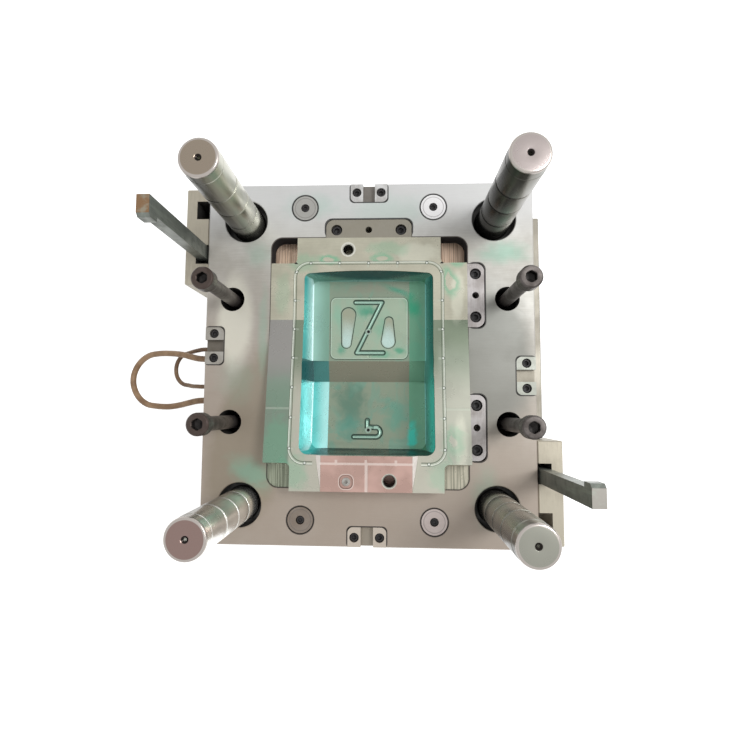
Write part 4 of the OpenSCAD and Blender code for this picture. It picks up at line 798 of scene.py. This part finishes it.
def pad_paint(mix, colour):
    """Each pad has a tone of its own and a turned ring."""
    for x, y, tone in ((-0.1, 0.24, "#A5A5A0"), (0.1, 0.24, "#ECEBEC"),
                       (-0.1, -0.24, "#7A6B5D"), (0.1, -0.24, "#C2B4AF")):
        colour = mix.lay(mix.near((x, y, FACE_Z), 0.03, 0.1), tone, colour, 0.8)
    ring = mix.between(mix.from_axis(PAD.x, PAD.y, True), 15 * MM, 16.2 * MM, 0.2 * MM)
    return mix.lay(ring, "#6A6663", colour, 0.5)


bolt_steel = steel("bolt_steel", "#68625F", "#48423F", TURNED, metallic=0.6, wander=0.02,
                   paint=bolt_paint)
steel("bar_steel", "#868B84", "#646862", LINES_Z, wander=0.03, paint=bar_paint)
steel("block_steel", "#B9B2A1", "#9E9788", LINES_Y, paint=block_paint)
steel("lock_steel", "#D4D4D3", "#ACAAA7", LINES_Y, wander=0.02, paint=lock_paint)
steel("wedge_steel", "#B5B1B0", "#96908D", LINES_Y, wander=0.03, paint=wedge_paint)
steel("pad_steel", "#C4C1BD", "#A19C97", wander=0.02, paint=pad_paint)
print("finishes so far:", len(finishes))

# %% [markdown]
# ### The insert's parting surface
#
# The insert was rubbed with spotting ink to see where both halves touch. Its surface is flat at the
# upper end and climbs towards the lower one, and the slopes get painted reflections in other tones
# than the flat. Ink and tones are laid on by place, as broad spots with ragged rims; some ink spots
# are hollow, as a rag leaves them.

# %% Parting surface
RISE_Y = 62 * MM
RISE = math.tan(math.radians(8.8))
INSERT_INK, PALE_PATCH = "#67B892", "#E4E4D2"


def parting_tones(mix, colour):
    """Painted reflections on the rising slopes, lilac grey on the left and greener towards the
    lower end, then pale patches and the ink.
    """
    # Painted reflection: the slopes mirror another part of the room than the flat.
    slope = mix.ramp(mix.y, RISE_Y + 0.3 * MM, RISE_Y - 0.3 * MM)
    left = mix.ramp(mix.x, -0.11, -0.115)
    rising = mix.blend(left, "#838F7B", "#9C9A96")
    low = mix.blend(left, "#C3C0B2", "#7F9080")
    rising = mix.lay(mix.ramp(mix.y, 0.01, -0.06), low, rising, 0.9)
    right = mix.math("MULTIPLY", mix.ramp(mix.y, 0.04, 0.0), mix.ramp(mix.x, 0.1, 0.11))
    rising = mix.lay(right, "#B2B8AA", rising, 0.4)
    colour = mix.blend(slope, colour, rising)
    # Paler patches on the flat.
    colour = mix.spots(colour, [(PALE_PATCH, 0.5, 0.075, 0.165, 0.04, 0.02),
                                (PALE_PATCH, 0.5, 0.135, 0.1, 0.012, 0.05),
                                (PALE_PATCH, 0.5, 0.135, -0.12, 0.012, 0.05)], 0.5, 0.4)
    return mix.spots(colour, [(INSERT_INK, 0.7, -0.062, 0.155, 0.022, 0.011, 0, 0.45),
                              (INSERT_INK, 0.55, 0.022, 0.157, 0.026, 0.011, 0, 0.45),
                              (INSERT_INK, 0.6, 0.124, 0.12, 0.016, 0.032, 12, 0.5),
                              (INSERT_INK, 0.3, 0.03, 0.172, 0.04, 0.016),
                              (INSERT_INK, 0.3, -0.1, 0.152, 0.03, 0.02),
                              (INSERT_INK, 0.2, -0.132, 0.1, 0.016, 0.045),
                              (INSERT_INK, 0.3, -0.13, -0.13, 0.03, 0.06),
                              (INSERT_INK, 0.35, 0.125, -0.12, 0.022, 0.03, 0, 0.45),
                              (INSERT_INK, 0.5, 0.135, 0.15, 0.015, 0.012),
                              (INSERT_INK, 0.35, -0.105, -0.165, 0.03, 0.03),
                              (INSERT_INK, 0.25, 0.11, -0.165, 0.03, 0.03),
                              (INSERT_INK, 0.12, -0.13, -0.05, 0.03, 0.04)], 0.6, 0.5)


print("parting surface: flat down to", RISE_Y, "m, then up by", round(RISE, 3), "per metre")

# %% [markdown]
# ### The vent groove
#
# A groove round the cavity lets the air out while plastic comes in, crossed by short slots. Its
# shape is in the CAD part. The light catches its outer edge and leaves its inner edge dark, and
# both lines are laid along the outline that the groove follows, a rectangle with round corners.

# %% Vent groove
GROOVE_RIM = (0, -0.00025, 0.1105, 0.14875, 0.02)
VENT_HALF = 1.75 * MM
SLOT_PITCH, FIRST_SLOT_Y = 44.5 * MM, 92 * MM


def vent_tones(mix, colour, above, away):
    """Painted highlight and shade lines by the distance out from the groove's inner rim, and a
    painted glint with a dark ring at each crossing slot.

    A glint's distance is taken from the nearest slot, by folding the place along the groove back
    and forth every half pitch, and from the groove's middle. At the shelf the groove ends.
    """
    at_shelf = mix.math("MULTIPLY", mix.ramp(mix.y, -0.139, -0.1385, 1, 0),
                        mix.ramp(away, 0.078, 0.077))
    rim = mix.math("ADD", mix.outline(*GROOVE_RIM), at_shelf)
    # Painted highlight on the groove's floor, painted shade along its inner edge, then a painted
    # highlight and shade at its outer edge.
    colour = mix.lay(mix.between(above, -0.0012, -0.0004, 0.0002), "#C9D2C3", colour, 0.35)
    for low, high, tone, share in ((-0.0007, 0.0007, "#56624F", 0.8),
                                   (0.0026, 0.0037, "#F2F5EC", 0.8),
                                   (0.0038, 0.0047, "#687463", 0.7)):
        colour = mix.lay(mix.between(rim, low, high, 0.3 * MM), tone, colour, share)
    # Painted glint with a dark ring where each slot crosses the groove.
    along_side = mix.math("SUBTRACT", mix.y, FIRST_SLOT_Y)
    apart = mix.blend(mix.ramp(away, 0.0995, 0.1), mix.math("PINGPONG", mix.x, SLOT_PITCH / 2),
                      mix.math("PINGPONG", along_side, SLOT_PITCH / 2))
    glint = mix.hypot(apart, mix.math("SUBTRACT", rim, VENT_HALF))
    colour = mix.lay(mix.ramp(glint, 2.8 * MM, 2.4 * MM), "#5C685A", colour, 0.8)
    return mix.lay(mix.ramp(glint, 1.8 * MM, 1.2 * MM), "#F4F7F0", colour, 0.9)


print("vent groove:", 2 * VENT_HALF, "m wide, with a bead every", SLOT_PITCH, "m")

# %% [markdown]
# ### Corner recesses and shelf
#
# The recesses probably take the other half's locks. They are milled, so their floors have stripes:
# noise that is very long along Y. Their walls below the plate's face get painted shade. The shelf
# at the lower end is ground, with a painted pink reflection on its top, and its sloped sides are
# white with painted light.

# %% Recesses and shelf
RECESS_X, RECESS_Y = (0.109, 0.1498), (0.149, 0.1898)
SHELF_Y, SHELF_HALF = -139.4 * MM, 65.25 * MM
PIN_POCKET = (-0.0285, -0.176, 0.00925, 0.00925, 0.007)


def recess_tones(mix, colour, above, away):
    """Upper recesses with painted shade down their sides and tan floors, and lower ones in two
    greys.
    """
    stripes = mix.ramp(mix.noise(0.0022, stretch=(1, 40, 40), detail=1.0), 0.42, 0.58)
    corner = mix.math("MULTIPLY", mix.between(away, *RECESS_X),
                      mix.between(mix.math("ABSOLUTE", mix.y), *RECESS_Y))
    # Painted shade down the recesses' sides, below the plate's face.
    wall_shade = mix.math("MULTIPLY", corner, mix.ramp(mix.z, FACE_Z - 0.4 * MM, FACE_Z - 0.8 * MM))
    colour = mix.lay(wall_shade, "#2A2624", colour)
    deep = mix.math("MULTIPLY", corner, mix.ramp(mix.z, FACE_Z - 30.8 * MM, FACE_Z - 31.4 * MM))
    colour = mix.lay(deep, mix.blend(stripes, "#C8AA92", "#F6DAC1"), colour)
    lower = mix.math("MULTIPLY", mix.math("MULTIPLY", corner, mix.ramp(above, -0.0008, -0.0014)),
                     mix.ramp(mix.y, -0.14, -0.141))
    greys = mix.blend(mix.ramp(mix.x, -0.05, 0.05), mix.blend(stripes, "#858B79", "#AEB5A0"),
                      mix.blend(stripes, "#A19F8E", "#CEC9B7"))
    return mix.lay(lower, greys, colour)


def shelf_tones(mix, colour, above, away):
    """Painted highlight on the shelf's sloped sides, a painted pink reflection on its top, a
    painted highlight in its channel, and the pin's pocket outlined in painted shade and highlight.
    """
    # Painted highlight: the sloped sides are white.
    shelf = mix.ramp(mix.y, SHELF_Y + 0.2 * MM, SHELF_Y - 0.2 * MM)
    past_top = mix.ramp(away, SHELF_HALF - 0.15 * MM, SHELF_HALF + 0.35 * MM)
    sides = mix.math("MULTIPLY", mix.ramp(above, 0.3 * MM, 0.6 * MM), past_top)
    colour = mix.lay(mix.math("MULTIPLY", shelf, sides), "#FFF6F0", colour)
    # Painted reflection: the top is pink.
    over_top = mix.ramp(away, SHELF_HALF + 0.25 * MM, SHELF_HALF - 0.25 * MM)
    top = mix.math("MULTIPLY", shelf, over_top)
    haze = mix.ramp(mix.noise(0.05), 0.4, 0.6)
    colour = mix.lay(top, mix.blend(haze, "#CDAA9F", "#BE9D92"), colour)
    # Painted highlight along the channel's floor.
    channel = mix.math("MULTIPLY", top, mix.between(mix.z, 0.238, 0.239, 0.0002))
    colour = mix.lay(channel, "#F1E4DC", colour, 0.6)
    # Painted shade at the pin pocket's edge, and a painted highlight just outside it.
    for low, high, tone in ((-0.0005, 0.0004, "#7F665D"), (0.0009, 0.0018, "#EFE0D8")):
        pocket = mix.between(mix.outline(*PIN_POCKET), low, high, 0.0002)
        colour = mix.lay(pocket, tone, colour, 0.8)
    return colour


print("shelf: below y =", SHELF_Y, "and", 2 * SHELF_HALF, "m wide on top")

# %% [markdown]
# ### The cavity
#
# The cavity is polished. In the photograph it mirrors sky and room: teal on the walls, smears of
# green on the floor, near black on the lower end. A true mirror here would show only this scene's
# white world, so what the cavity mirrors is laid on as tones, and the steel stays half dull.

# %% Cavity floor and bands
RAMP_Y = (-29.8 * MM, 2.7 * MM)
FLOOR_PAD = (0, 0.0555, 0.0615, 0.0495, 0.009)


def floor_tones(mix):
    """The floor's two levels, the raised pad, smears, the ramp between, and the side bands."""
    smear = mix.ramp(mix.noise(0.03, stretch=(1, 1.5, 1), detail=2.5, warp=1.0), 0.46, 0.62)
    floor = mix.lay(smear, "#7FA792", "#93A08D", 0.5)
    low = mix.blend(smear, "#8F9A86", "#7C9D8B")
    floor = mix.lay(mix.ramp(mix.y, 0.001, -0.001), low, floor, 0.8)
    pad = mix.outline(*FLOOR_PAD)
    floor = mix.lay(mix.ramp(pad, 0, -0.001), "#C4D8C0", floor, 0.4)
    floor = mix.spots(floor, [("#2F8C70", 0.7, 0.0, 0.081, 0.02, 0.01),
                              ("#2F9A78", 0.7, 0.047, 0.02, 0.016, 0.007, -15),
                              ("#4F7A6A", 0.7, -0.028, -0.07, 0.035, 0.06),
                              ("#1F9A74", 0.85, 0.068, 0.09, 0.016, 0.026, 20),
                              ("#4FA187", 0.8, 0.045, 0.117, 0.035, 0.008, -18),
                              ("#5FAE90", 0.55, -0.01, 0.085, 0.03, 0.02),
                              ("#7DB69A", 0.5, 0.02, 0.055, 0.02, 0.02),
                              ("#57AC8C", 0.5, 0.02, 0.013, 0.03, 0.01),
                              ("#4FA487", 0.7, -0.045, 0.02, 0.01, 0.012),
                              ("#8FBFA6", 0.6, -0.05, 0.075, 0.012, 0.03),
                              ("#9A9787", 0.5, 0.0, 0.12, 0.05, 0.01),
                              ("#5FA090", 0.45, -0.03, -0.1, 0.03, 0.03),
                              ("#5C9A86", 0.5, 0.045, -0.08, 0.03, 0.045),
                              ("#C9E0D2", 0.6, -0.035, 0.055, 0.008, 0.026, 8),
                              ("#BDE3DB", 0.75, 0.03, 0.05, 0.008, 0.02)], 0.9, 0.7)
    on_ramp = mix.between(mix.y, *RAMP_Y)
    floor = mix.lay(on_ramp, "#83806F", floor, 0.95)
    upper_band = mix.blend(mix.ramp(mix.x, -0.066, -0.086), "#84AA98", "#93BBAE")
    lower_band = mix.blend(mix.ramp(mix.x, -0.066, -0.088), "#B8F2EE", "#5FC4C0")
    band = mix.blend(mix.ramp(mix.y, -0.0285, -0.0305), upper_band, lower_band)
    band = mix.lay(on_ramp, "#3F7F7C", band, 0.9)
    floor = mix.blend(mix.ramp(mix.x, -0.0638, -0.0642), floor, band)
    floor = mix.lay(mix.ramp(mix.x, 0.0638, 0.0642), "#3FA380", floor, 0.55)
    # Painted highlight: a teal streak low on the right of the floor.
    streak = mix.spot(0.069, -0.115, 0.011, 0.024, soft=0.8, ragged=0.8)
    return mix.lay(streak, "#3FC6B4", floor, 0.9)


print("cavity floor: ramp from y =", RAMP_Y[0], "to", RAMP_Y[1])

# %% Cavity walls, pad and dishes
WALL_X = (88.0 * MM, 89.3 * MM)
DISHES = (((-0.036, 0.031), 0.008, (-0.033, 0.077), 0.012),
          ((0.0305, 0.0345), 0.0115, (0.0315, 0.067), 0.007))


def wall_tones(mix, floor):
    """The left wall lit, the right one in shade, and the two ends, each over the floor's tones."""
    lit = mix.blend(mix.ramp(mix.x, -0.0895, -0.0975), "#E4FFFF", "#52C9CC")
    lit = mix.lay(mix.between(mix.y, *RAMP_Y), "#1F5C60", lit, 0.85)
    floor = mix.blend(mix.ramp(mix.x, -WALL_X[0], -WALL_X[1]), floor, lit)
    shade = mix.blend(mix.ramp(mix.x, 0.0895, 0.0965), "#7CC0B8",
                      mix.blend(mix.ramp(mix.y, 0.02, -0.06), "#23837F", "#5FFAEC"))
    floor = mix.blend(mix.ramp(mix.x, *WALL_X), floor, shade)
    low_end = mix.blend(mix.ramp(mix.x, -0.07, -0.09), "#04302F", "#49C6C2")
    floor = mix.blend(mix.ramp(mix.y, -0.1338, -0.1352), floor, low_end)
    top_end = mix.blend(mix.ramp(mix.y, 0.1335, 0.1355), "#7DA79A", "#1F5A5C")
    return mix.blend(mix.ramp(mix.y, 0.1305, 0.1318), floor, top_end)


def pad_and_dish_tones(mix, floor):
    """Painted shade and highlight on the raised pad's two edges, and the dishes: hollows with a
    painted pale reflection and a rim of painted shade.
    """
    pad = mix.outline(*FLOOR_PAD)
    # Painted shade just outside the pad's edge, and a painted highlight just inside it.
    floor = mix.lay(mix.between(pad, -0.0002, 0.0010, 0.0003), "#4C5E50", floor, 0.8)
    floor = mix.lay(mix.between(pad, -0.0016, -0.0005, 0.0003), "#D5E6D6", floor, 0.6)
    for low, low_r, high, high_r in DISHES:
        # Painted reflection in each dish, and painted shade on its rim.
        rim = mix.capsule(low, low_r, high, high_r)
        pale = mix.blend(mix.ramp(mix.y, high[1], low[1]), "#A9A590", "#D3EEEA")
        floor = mix.lay(mix.ramp(rim, 0, -0.003), pale, floor, 0.7)
        floor = mix.lay(mix.between(rim, -0.0009, 0.0006, 0.0003), "#2B3A32", floor, 0.85)
    return floor


print("dishes in the raised pad:", len(DISHES))

# %% [markdown]
# ### The runner grooves, and the whole insert
#
# Plastic enters at two gates and flows on through grooves: a zigzag of three strokes, and a hook
# with a bar, a bend and a stem. They are cut in the CAD part, and their tone follows the distance
# from their middle lines, the least of the distances from all strokes.

# %% Runner grooves
STROKES = (((-0.0215, 0.097), (0.0205, 0.097)), ((0.0205, 0.097), (-0.0195, 0.016)),
           ((-0.0195, 0.016), (0.0225, 0.016)), ((-0.023, -0.1165), (0.011, -0.1165)),
           ((0.0115, -0.102), (-0.002, -0.101)), ((-0.002, -0.1), (-0.002, -0.091)))
BEND, BEND_R = (0.011, -0.109), 7.5 * MM


def runner_tones(mix, floor):
    """Painted shade on the grooves' sides, and a painted highlight along the bottom of every
    groove.
    """
    off_bend = mix.math("ABSOLUTE", mix.math("SUBTRACT", mix.from_axis(*BEND), BEND_R))
    from_line = mix.math("ADD", off_bend, mix.ramp(mix.x, BEND[0] + 0.2 * MM, BEND[0] - 0.2 * MM))
    for start, end in STROKES:
        from_line = mix.math("MINIMUM", from_line, mix.capsule(start, 0, end, 0))
    # Painted shade on the grooves' sides, then a painted highlight along each groove's bottom.
    floor = mix.lay(mix.ramp(from_line, 4.7 * MM, 4.1 * MM), "#263A32", floor, 0.88)
    return mix.lay(mix.ramp(from_line, 3 * MM, MM), "#B2D6C4", floor, 0.9)


def insert_paint(mix, colour):
    """All of the insert's tones, by the height above the parting surface and the place across it.

    The parting surface climbs from RISE_Y towards the lower end, by RISE times the way gone. What
    lies under it and inside the cavity's outline is cavity, with a line of painted shade below its
    rim that leaves out the lit left side.
    """
    climb = mix.math("MULTIPLY", mix.math("SUBTRACT", RISE_Y, mix.y), RISE)
    above = mix.math("SUBTRACT", mix.math("SUBTRACT", mix.z, FACE_Z),
                     mix.math("MAXIMUM", climb, 0.0))
    away = mix.math("ABSOLUTE", mix.x)
    colour = parting_tones(mix, colour)
    for tones in (vent_tones, recess_tones, shelf_tones):
        colour = tones(mix, colour, above, away)
    floor = floor_tones(mix)
    for tones in (wall_tones, pad_and_dish_tones, runner_tones):
        floor = tones(mix, floor)
    # Painted shade just below the cavity's rim, apart from the lit left side.
    rim = mix.math("MULTIPLY", mix.between(above, -0.0036, -0.001, 0.0005),
                   mix.ramp(mix.x, -0.09, -0.085))
    floor = mix.lay(rim, "#0C3536", floor, 0.7)
    within = mix.math("MULTIPLY", mix.ramp(away, 0.102, 0.1015),
                      mix.between(mix.y, -0.1405, 0.1425))
    inside = mix.math("MULTIPLY", mix.ramp(above, -0.0008, -0.0014), within)
    return mix.blend(inside, colour, floor)


steel("insert_steel", "#C8C5B2", "#B5B2A0", LINES_X, metallic=0.35, rough=(0.22, 0.4),
      depth=0.03 * MM, wander=0.05, paint=insert_paint, shine=0.3)
print("insert:", len(bpy.data.materials["insert_steel"].node_tree.nodes), "shader nodes")

# %% [markdown]
# ## Turned parts
#
# Pillars, bolts and screws come off a lathe: a profile of radius against height, turned about the
# axis. Corners of the profile are rounded by short arcs. A Screw modifier turns a profile too, but
# here the radius may also depend on the angle, which makes a socket's hexagon and a head's knurl
# out of the same skin.

# %% Lathe
def rounded(corners, steps=4):
    """Profile through corners (radius, height, rounding), each rounded by a parabola arc.

    The arc starts and ends at the rounding's distance from the corner, along its two sides.
    """
    corners = np.array(corners, float)
    spots, rounding = corners[:, :2], corners[:, 2]
    profile = [spots[:1]]
    t = np.linspace(0, 1, steps + 1)[:, None]
    for before, here, after, size in zip(spots[:-2], spots[1:-1], spots[2:], rounding[1:-1]):
        if size <= 0:
            profile.append(here[None])
            continue
        a = here + (before - here) * size / np.linalg.norm(before - here)
        b = here + (after - here) * size / np.linalg.norm(after - here)
        profile.append((1 - t) ** 2 * a + 2 * t * (1 - t) * here + t ** 2 * b)
    return np.vstack(profile + [spots[-1:]])


def turned(profile, columns=96, hexagon=None, knurl=None):
    """A profile of (radius, height) rows turned about Z.

    hexagon gives each row a share: 0 keeps the circle, 1 makes a hexagon whose flats are that
    radius away, which is the radius over the cosine of the angle from the nearest flat's middle.
    knurl gives each row the depth of fine grooves along the axis, a cosine of the angle.
    """
    angle = np.linspace(0, 2 * np.pi, columns, endpoint=False)[None, :]
    radius = profile[:, :1] * np.ones_like(angle)
    if hexagon is not None:
        off_flat = (angle + np.pi / 6) % (np.pi / 3) - np.pi / 6
        radius = radius * (1 + np.array(hexagon)[:, None] * (1 / np.cos(off_flat) - 1))
    if knurl is not None:
        radius = radius - np.array(knurl)[:, None] * (0.5 - 0.5 * np.cos(angle * columns / 4))
    height = profile[:, 1:] * np.ones_like(angle)
    rows = np.stack([radius * np.cos(angle), radius * np.sin(angle), height], -1)
    return skin(rows, (0, 0, profile[0, 1]), (0, 0, profile[-1, 1]))


corners = [(0, 0, 0), (1, 0, 0.2), (1, 1, 0.2), (0, 1, 0)]
print("a profile of 4 corners, two of them rounded:", len(rounded(corners)), "points")

# %% [markdown]
# ### Guide pillars
#
# A pillar is ground to size, with a relieved lead-in and a rounded end, oil grooves round it and a
# centre hole. Its CAD part has the same form with sharp groove edges, which don't catch light as
# real ones do, so it is turned again. The profile runs from the flange in the clamp plate up to
# the end.

# %% Pillars
CORNERS = ("upper_left", "upper_right", "lower_left", "lower_right")
FLANGE_R, FLANGE_H = 29 * MM, 12 * MM
LEAD_L, LEAD_CUT, END_EDGE, CENTRE_R = 17 * MM, 0.4 * MM, 3 * MM, 2.5 * MM
GROOVE_W, GROOVE_CUT, GROOVE_PITCH, FIRST_GROOVE = 4 * MM, 1.2 * MM, 54 * MM, 36 * MM


def pillar(top):
    """Profile of a guide pillar that stands on z = 0."""
    outline = [(FLANGE_R - MM, 0, 0), (FLANGE_R, MM, 0.3 * MM), (FLANGE_R, FLANGE_H, 0.3 * MM),
               (PILLAR_R, FLANGE_H, 0)]
    for z in FACE_Z + FIRST_GROOVE + GROOVE_PITCH * np.arange(3):
        outline += [(PILLAR_R, z, 0.3 * MM), (PILLAR_R - GROOVE_CUT, z, 0.4 * MM),
                    (PILLAR_R - GROOVE_CUT, z + GROOVE_W, 0.4 * MM),
                    (PILLAR_R, z + GROOVE_W, 0.3 * MM)]
    lead_z = top - END_EDGE - LEAD_L
    end_r = PILLAR_R - LEAD_CUT
    outline += [(PILLAR_R, lead_z, 0.1 * MM), (end_r, lead_z + 0.6 * MM, 0.1 * MM),
                (end_r, top, END_EDGE), (2 * CENTRE_R, top, 0.1 * MM),
                (0.8 * CENTRE_R, top - 2 * MM, 0), (0.8 * CENTRE_R, top - 10 * MM, 0)]
    return turned(rounded(outline))


for corner in CORNERS:
    node = "guide_pillar_" + corner
    shape = placed(pillar(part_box(node)[1].z), (middle(node).x, middle(node).y, 0))
    piece(node + "_turned", shape, pillar_steel, "clamp_side", node, sharp=30)

# %% [markdown]
# ### Bolts and screws
#
# A socket head screw has a knurled head with a bevelled rim, a hexagon socket with a drilled point
# at its bottom, and a shank. The CAD screws are plain, and one node holds a whole group. Instead
# of a second list of their places, the boxes of the node's solids give each screw's place and
# size.

# %% Solids of a CAD part
SAME_PLACE = 0.01 * MM


def solids(node):
    """Boxes (low, high) of a CAD part's separate solids.

    Points in the same place count as one. Every triangle passes its lowest label on to its corners
    until no label changes, and points with the same label belong to one solid.
    """
    mesh = frame["nodes"][node].data
    points = np.zeros(len(mesh.vertices) * 3)
    mesh.vertices.foreach_get("co", points)
    points = points.reshape(-1, 3)
    corners = np.zeros(len(mesh.loops), int)
    mesh.loops.foreach_get("vertex_index", corners)
    _, spot = np.unique(np.round(points / SAME_PLACE), axis=0, return_inverse=True)
    triangles = spot.ravel()[corners].reshape(-1, 3)
    label = np.arange(spot.max() + 1)
    while True:
        lowest = label[triangles].min(1)
        passed = label.copy()
        np.minimum.at(passed, triangles.ravel(), np.repeat(lowest, 3))
        if (passed == label).all():
            break
        label = passed
    owner = label[spot.ravel()]
    return [(points[owner == one].min(0), points[owner == one].max(0)) for one in np.unique(owner)]


print("wedge_screws:", len(solids("wedge_screws")), "solids")

# %% Screws
SOCKET_ROWS = 4
SOCKET_MOUTH, POINT_R = 1.12, 0.8
SOCKET_DEPTH, POINT_DEPTH = 0.55, 0.68
KNURL_CUT = 0.25 * MM


def socket_screw(head_r, head_h, shank_r, length, socket_r, rim):
    """Screw along Z with its head's top at z = 0: profile from the shank's end to the socket.

    The socket's depths are shares of the head's height, and its mouth and point shares of its
    radius. Its last rows become a hexagon, and the head's side gets the knurl.
    """
    outline = [(shank_r - MM, -length, 0), (shank_r, MM - length, 0.2 * MM), (shank_r, -head_h, 0),
               (head_r, -head_h, 0.3 * MM), (head_r, -rim - MM, 0), (head_r, -rim, 0.3 * MM),
               (head_r - rim, 0, 0.3 * MM), (socket_r * SOCKET_MOUTH, 0, 0.1 * MM),
               (socket_r, -0.5 * MM, 0), (socket_r, -SOCKET_DEPTH * head_h, 0),
               (socket_r * POINT_R, -SOCKET_DEPTH * head_h, 0),
               (0.02 * MM, -POINT_DEPTH * head_h, 0)]
    profile = rounded(outline, 3)
    inside = np.arange(len(profile)) >= len(profile) - SOCKET_ROWS
    side = (np.abs(profile[:, 0] - head_r) < 0.01 * MM) & (profile[:, 1] < -rim + 0.01 * MM)
    return turned(profile, hexagon=inside * 1.0, knurl=side * KNURL_CUT)


def screws(node, way, body, up=None, sunk=0.0):
    """Fine screws in place of a CAD group: each solid's box gives its head and its length.

    The heads point along axis number way: up or down it, or outwards from the middle where up is
    None. A head is one and a half threads and 1 mm wide, and as high as its thread is thick, less
    what is sunk.
    """
    shapes = []
    for low, high in solids(node):
        size = high - low
        across = max(np.delete(size, way))
        point = (low + high) / 2
        sign = up or math.copysign(1, point[way])
        point[way] = high[way] if sign > 0 else low[way]
        thread = (across - MM) / 1.5
        screw = socket_screw(across / 2, thread - sunk, thread / 2, size[way],
                             0.375 * thread + 0.25 * MM, 0.07 * across)
        shapes.append(placed(screw, point, sign * np.eye(3)[way]))
    piece(node + "_turned", joined(shapes), screw_black, body, node)


screws("wedge_screws", 2, "cavity_side", up=1)
screws("side_lock_screws", 2, "cavity_side", up=1)
screws("stop_pad_screws", 2, "cavity_side", up=1, sunk=1.5 * MM)
screws("latch_block_screws", 0, "cavity_side")
screws("manifold_screws", 0, "cavity_side")
screws("latch_bar_screws", 0, "clamp_side")
screws("locating_ring_screws", 2, "clamp_side", up=-1)

# %% Stop bolts
STOP_HEAD_R, STOP_HEAD_H, STOP_SHANK_R = 15 * MM, 20 * MM, 10 * MM
STOP_SOCKET_R, STOP_RIM = 7 * MM, 2 * MM
for corner in CORNERS:
    node = "stop_bolt_" + corner
    low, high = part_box(node)
    bolt = socket_screw(STOP_HEAD_R, STOP_HEAD_H, STOP_SHANK_R, high.z - low.z,
                        STOP_SOCKET_R, STOP_RIM)
    piece(node + "_turned", placed(bolt, (middle(node).x, middle(node).y, high.z)), bolt_steel,
          "runner_side", node)

# %% [markdown]
# ## Dressing the CAD parts
#
# The other parts are right as they came, so their meshes stay. Each gets its finish, its loose
# triangles are welded by a modifier, and geometry nodes shade it smooth between sharp edges, so
# that bores look round and faces flat. Shading it by hand would change the mesh itself.

# %% Finishes for the CAD parts
WELD_REACH = 0.005 * MM


def rounding_group(angle=30):
    """Geometry nodes that shade a mesh smooth, apart from edges sharper than the angle."""
    group = bpy.data.node_groups.new("smooth_faces", "GeometryNodeTree")
    group.interface.new_socket("Geometry", in_out="INPUT", socket_type="NodeSocketGeometry")
    group.interface.new_socket("Geometry", in_out="OUTPUT", socket_type="NodeSocketGeometry")
    start, end = group.nodes.new("NodeGroupInput"), group.nodes.new("NodeGroupOutput")
    faces, edges = (group.nodes.new("GeometryNodeSetShadeSmooth") for _ in range(2))
    edges.domain = "EDGE"
    edges.inputs["Shade Smooth"].default_value = False
    bend = group.nodes.new("GeometryNodeInputMeshEdgeAngle")
    sharp = group.nodes.new("ShaderNodeMath")
    sharp.operation = "GREATER_THAN"
    sharp.inputs[1].default_value = math.radians(angle)
    group.links.new(start.outputs[0], faces.inputs["Geometry"])
    group.links.new(faces.outputs["Geometry"], edges.inputs["Geometry"])
    group.links.new(bend.outputs["Unsigned Angle"], sharp.inputs[0])
    group.links.new(sharp.outputs[0], edges.inputs["Selection"])
    group.links.new(edges.outputs["Geometry"], end.inputs[0])
    return group


smooth_faces = rounding_group()
dressed = []
for name, part in frame["nodes"].items():
    finish = finishes.get(slot_of.get(name))
    if part.hide_render or finish is None:
        continue
    part.data.materials.clear()
    part.data.materials.append(finish)
    weld = part.modifiers.new("weld", "WELD")
    weld.merge_threshold = WELD_REACH
    smooth = part.modifiers.new("smooth", "NODES")
    smooth.node_group = smooth_faces
    dressed.append(name)
print("dressed:", len(dressed), "CAD parts with", len(finishes), "finishes")
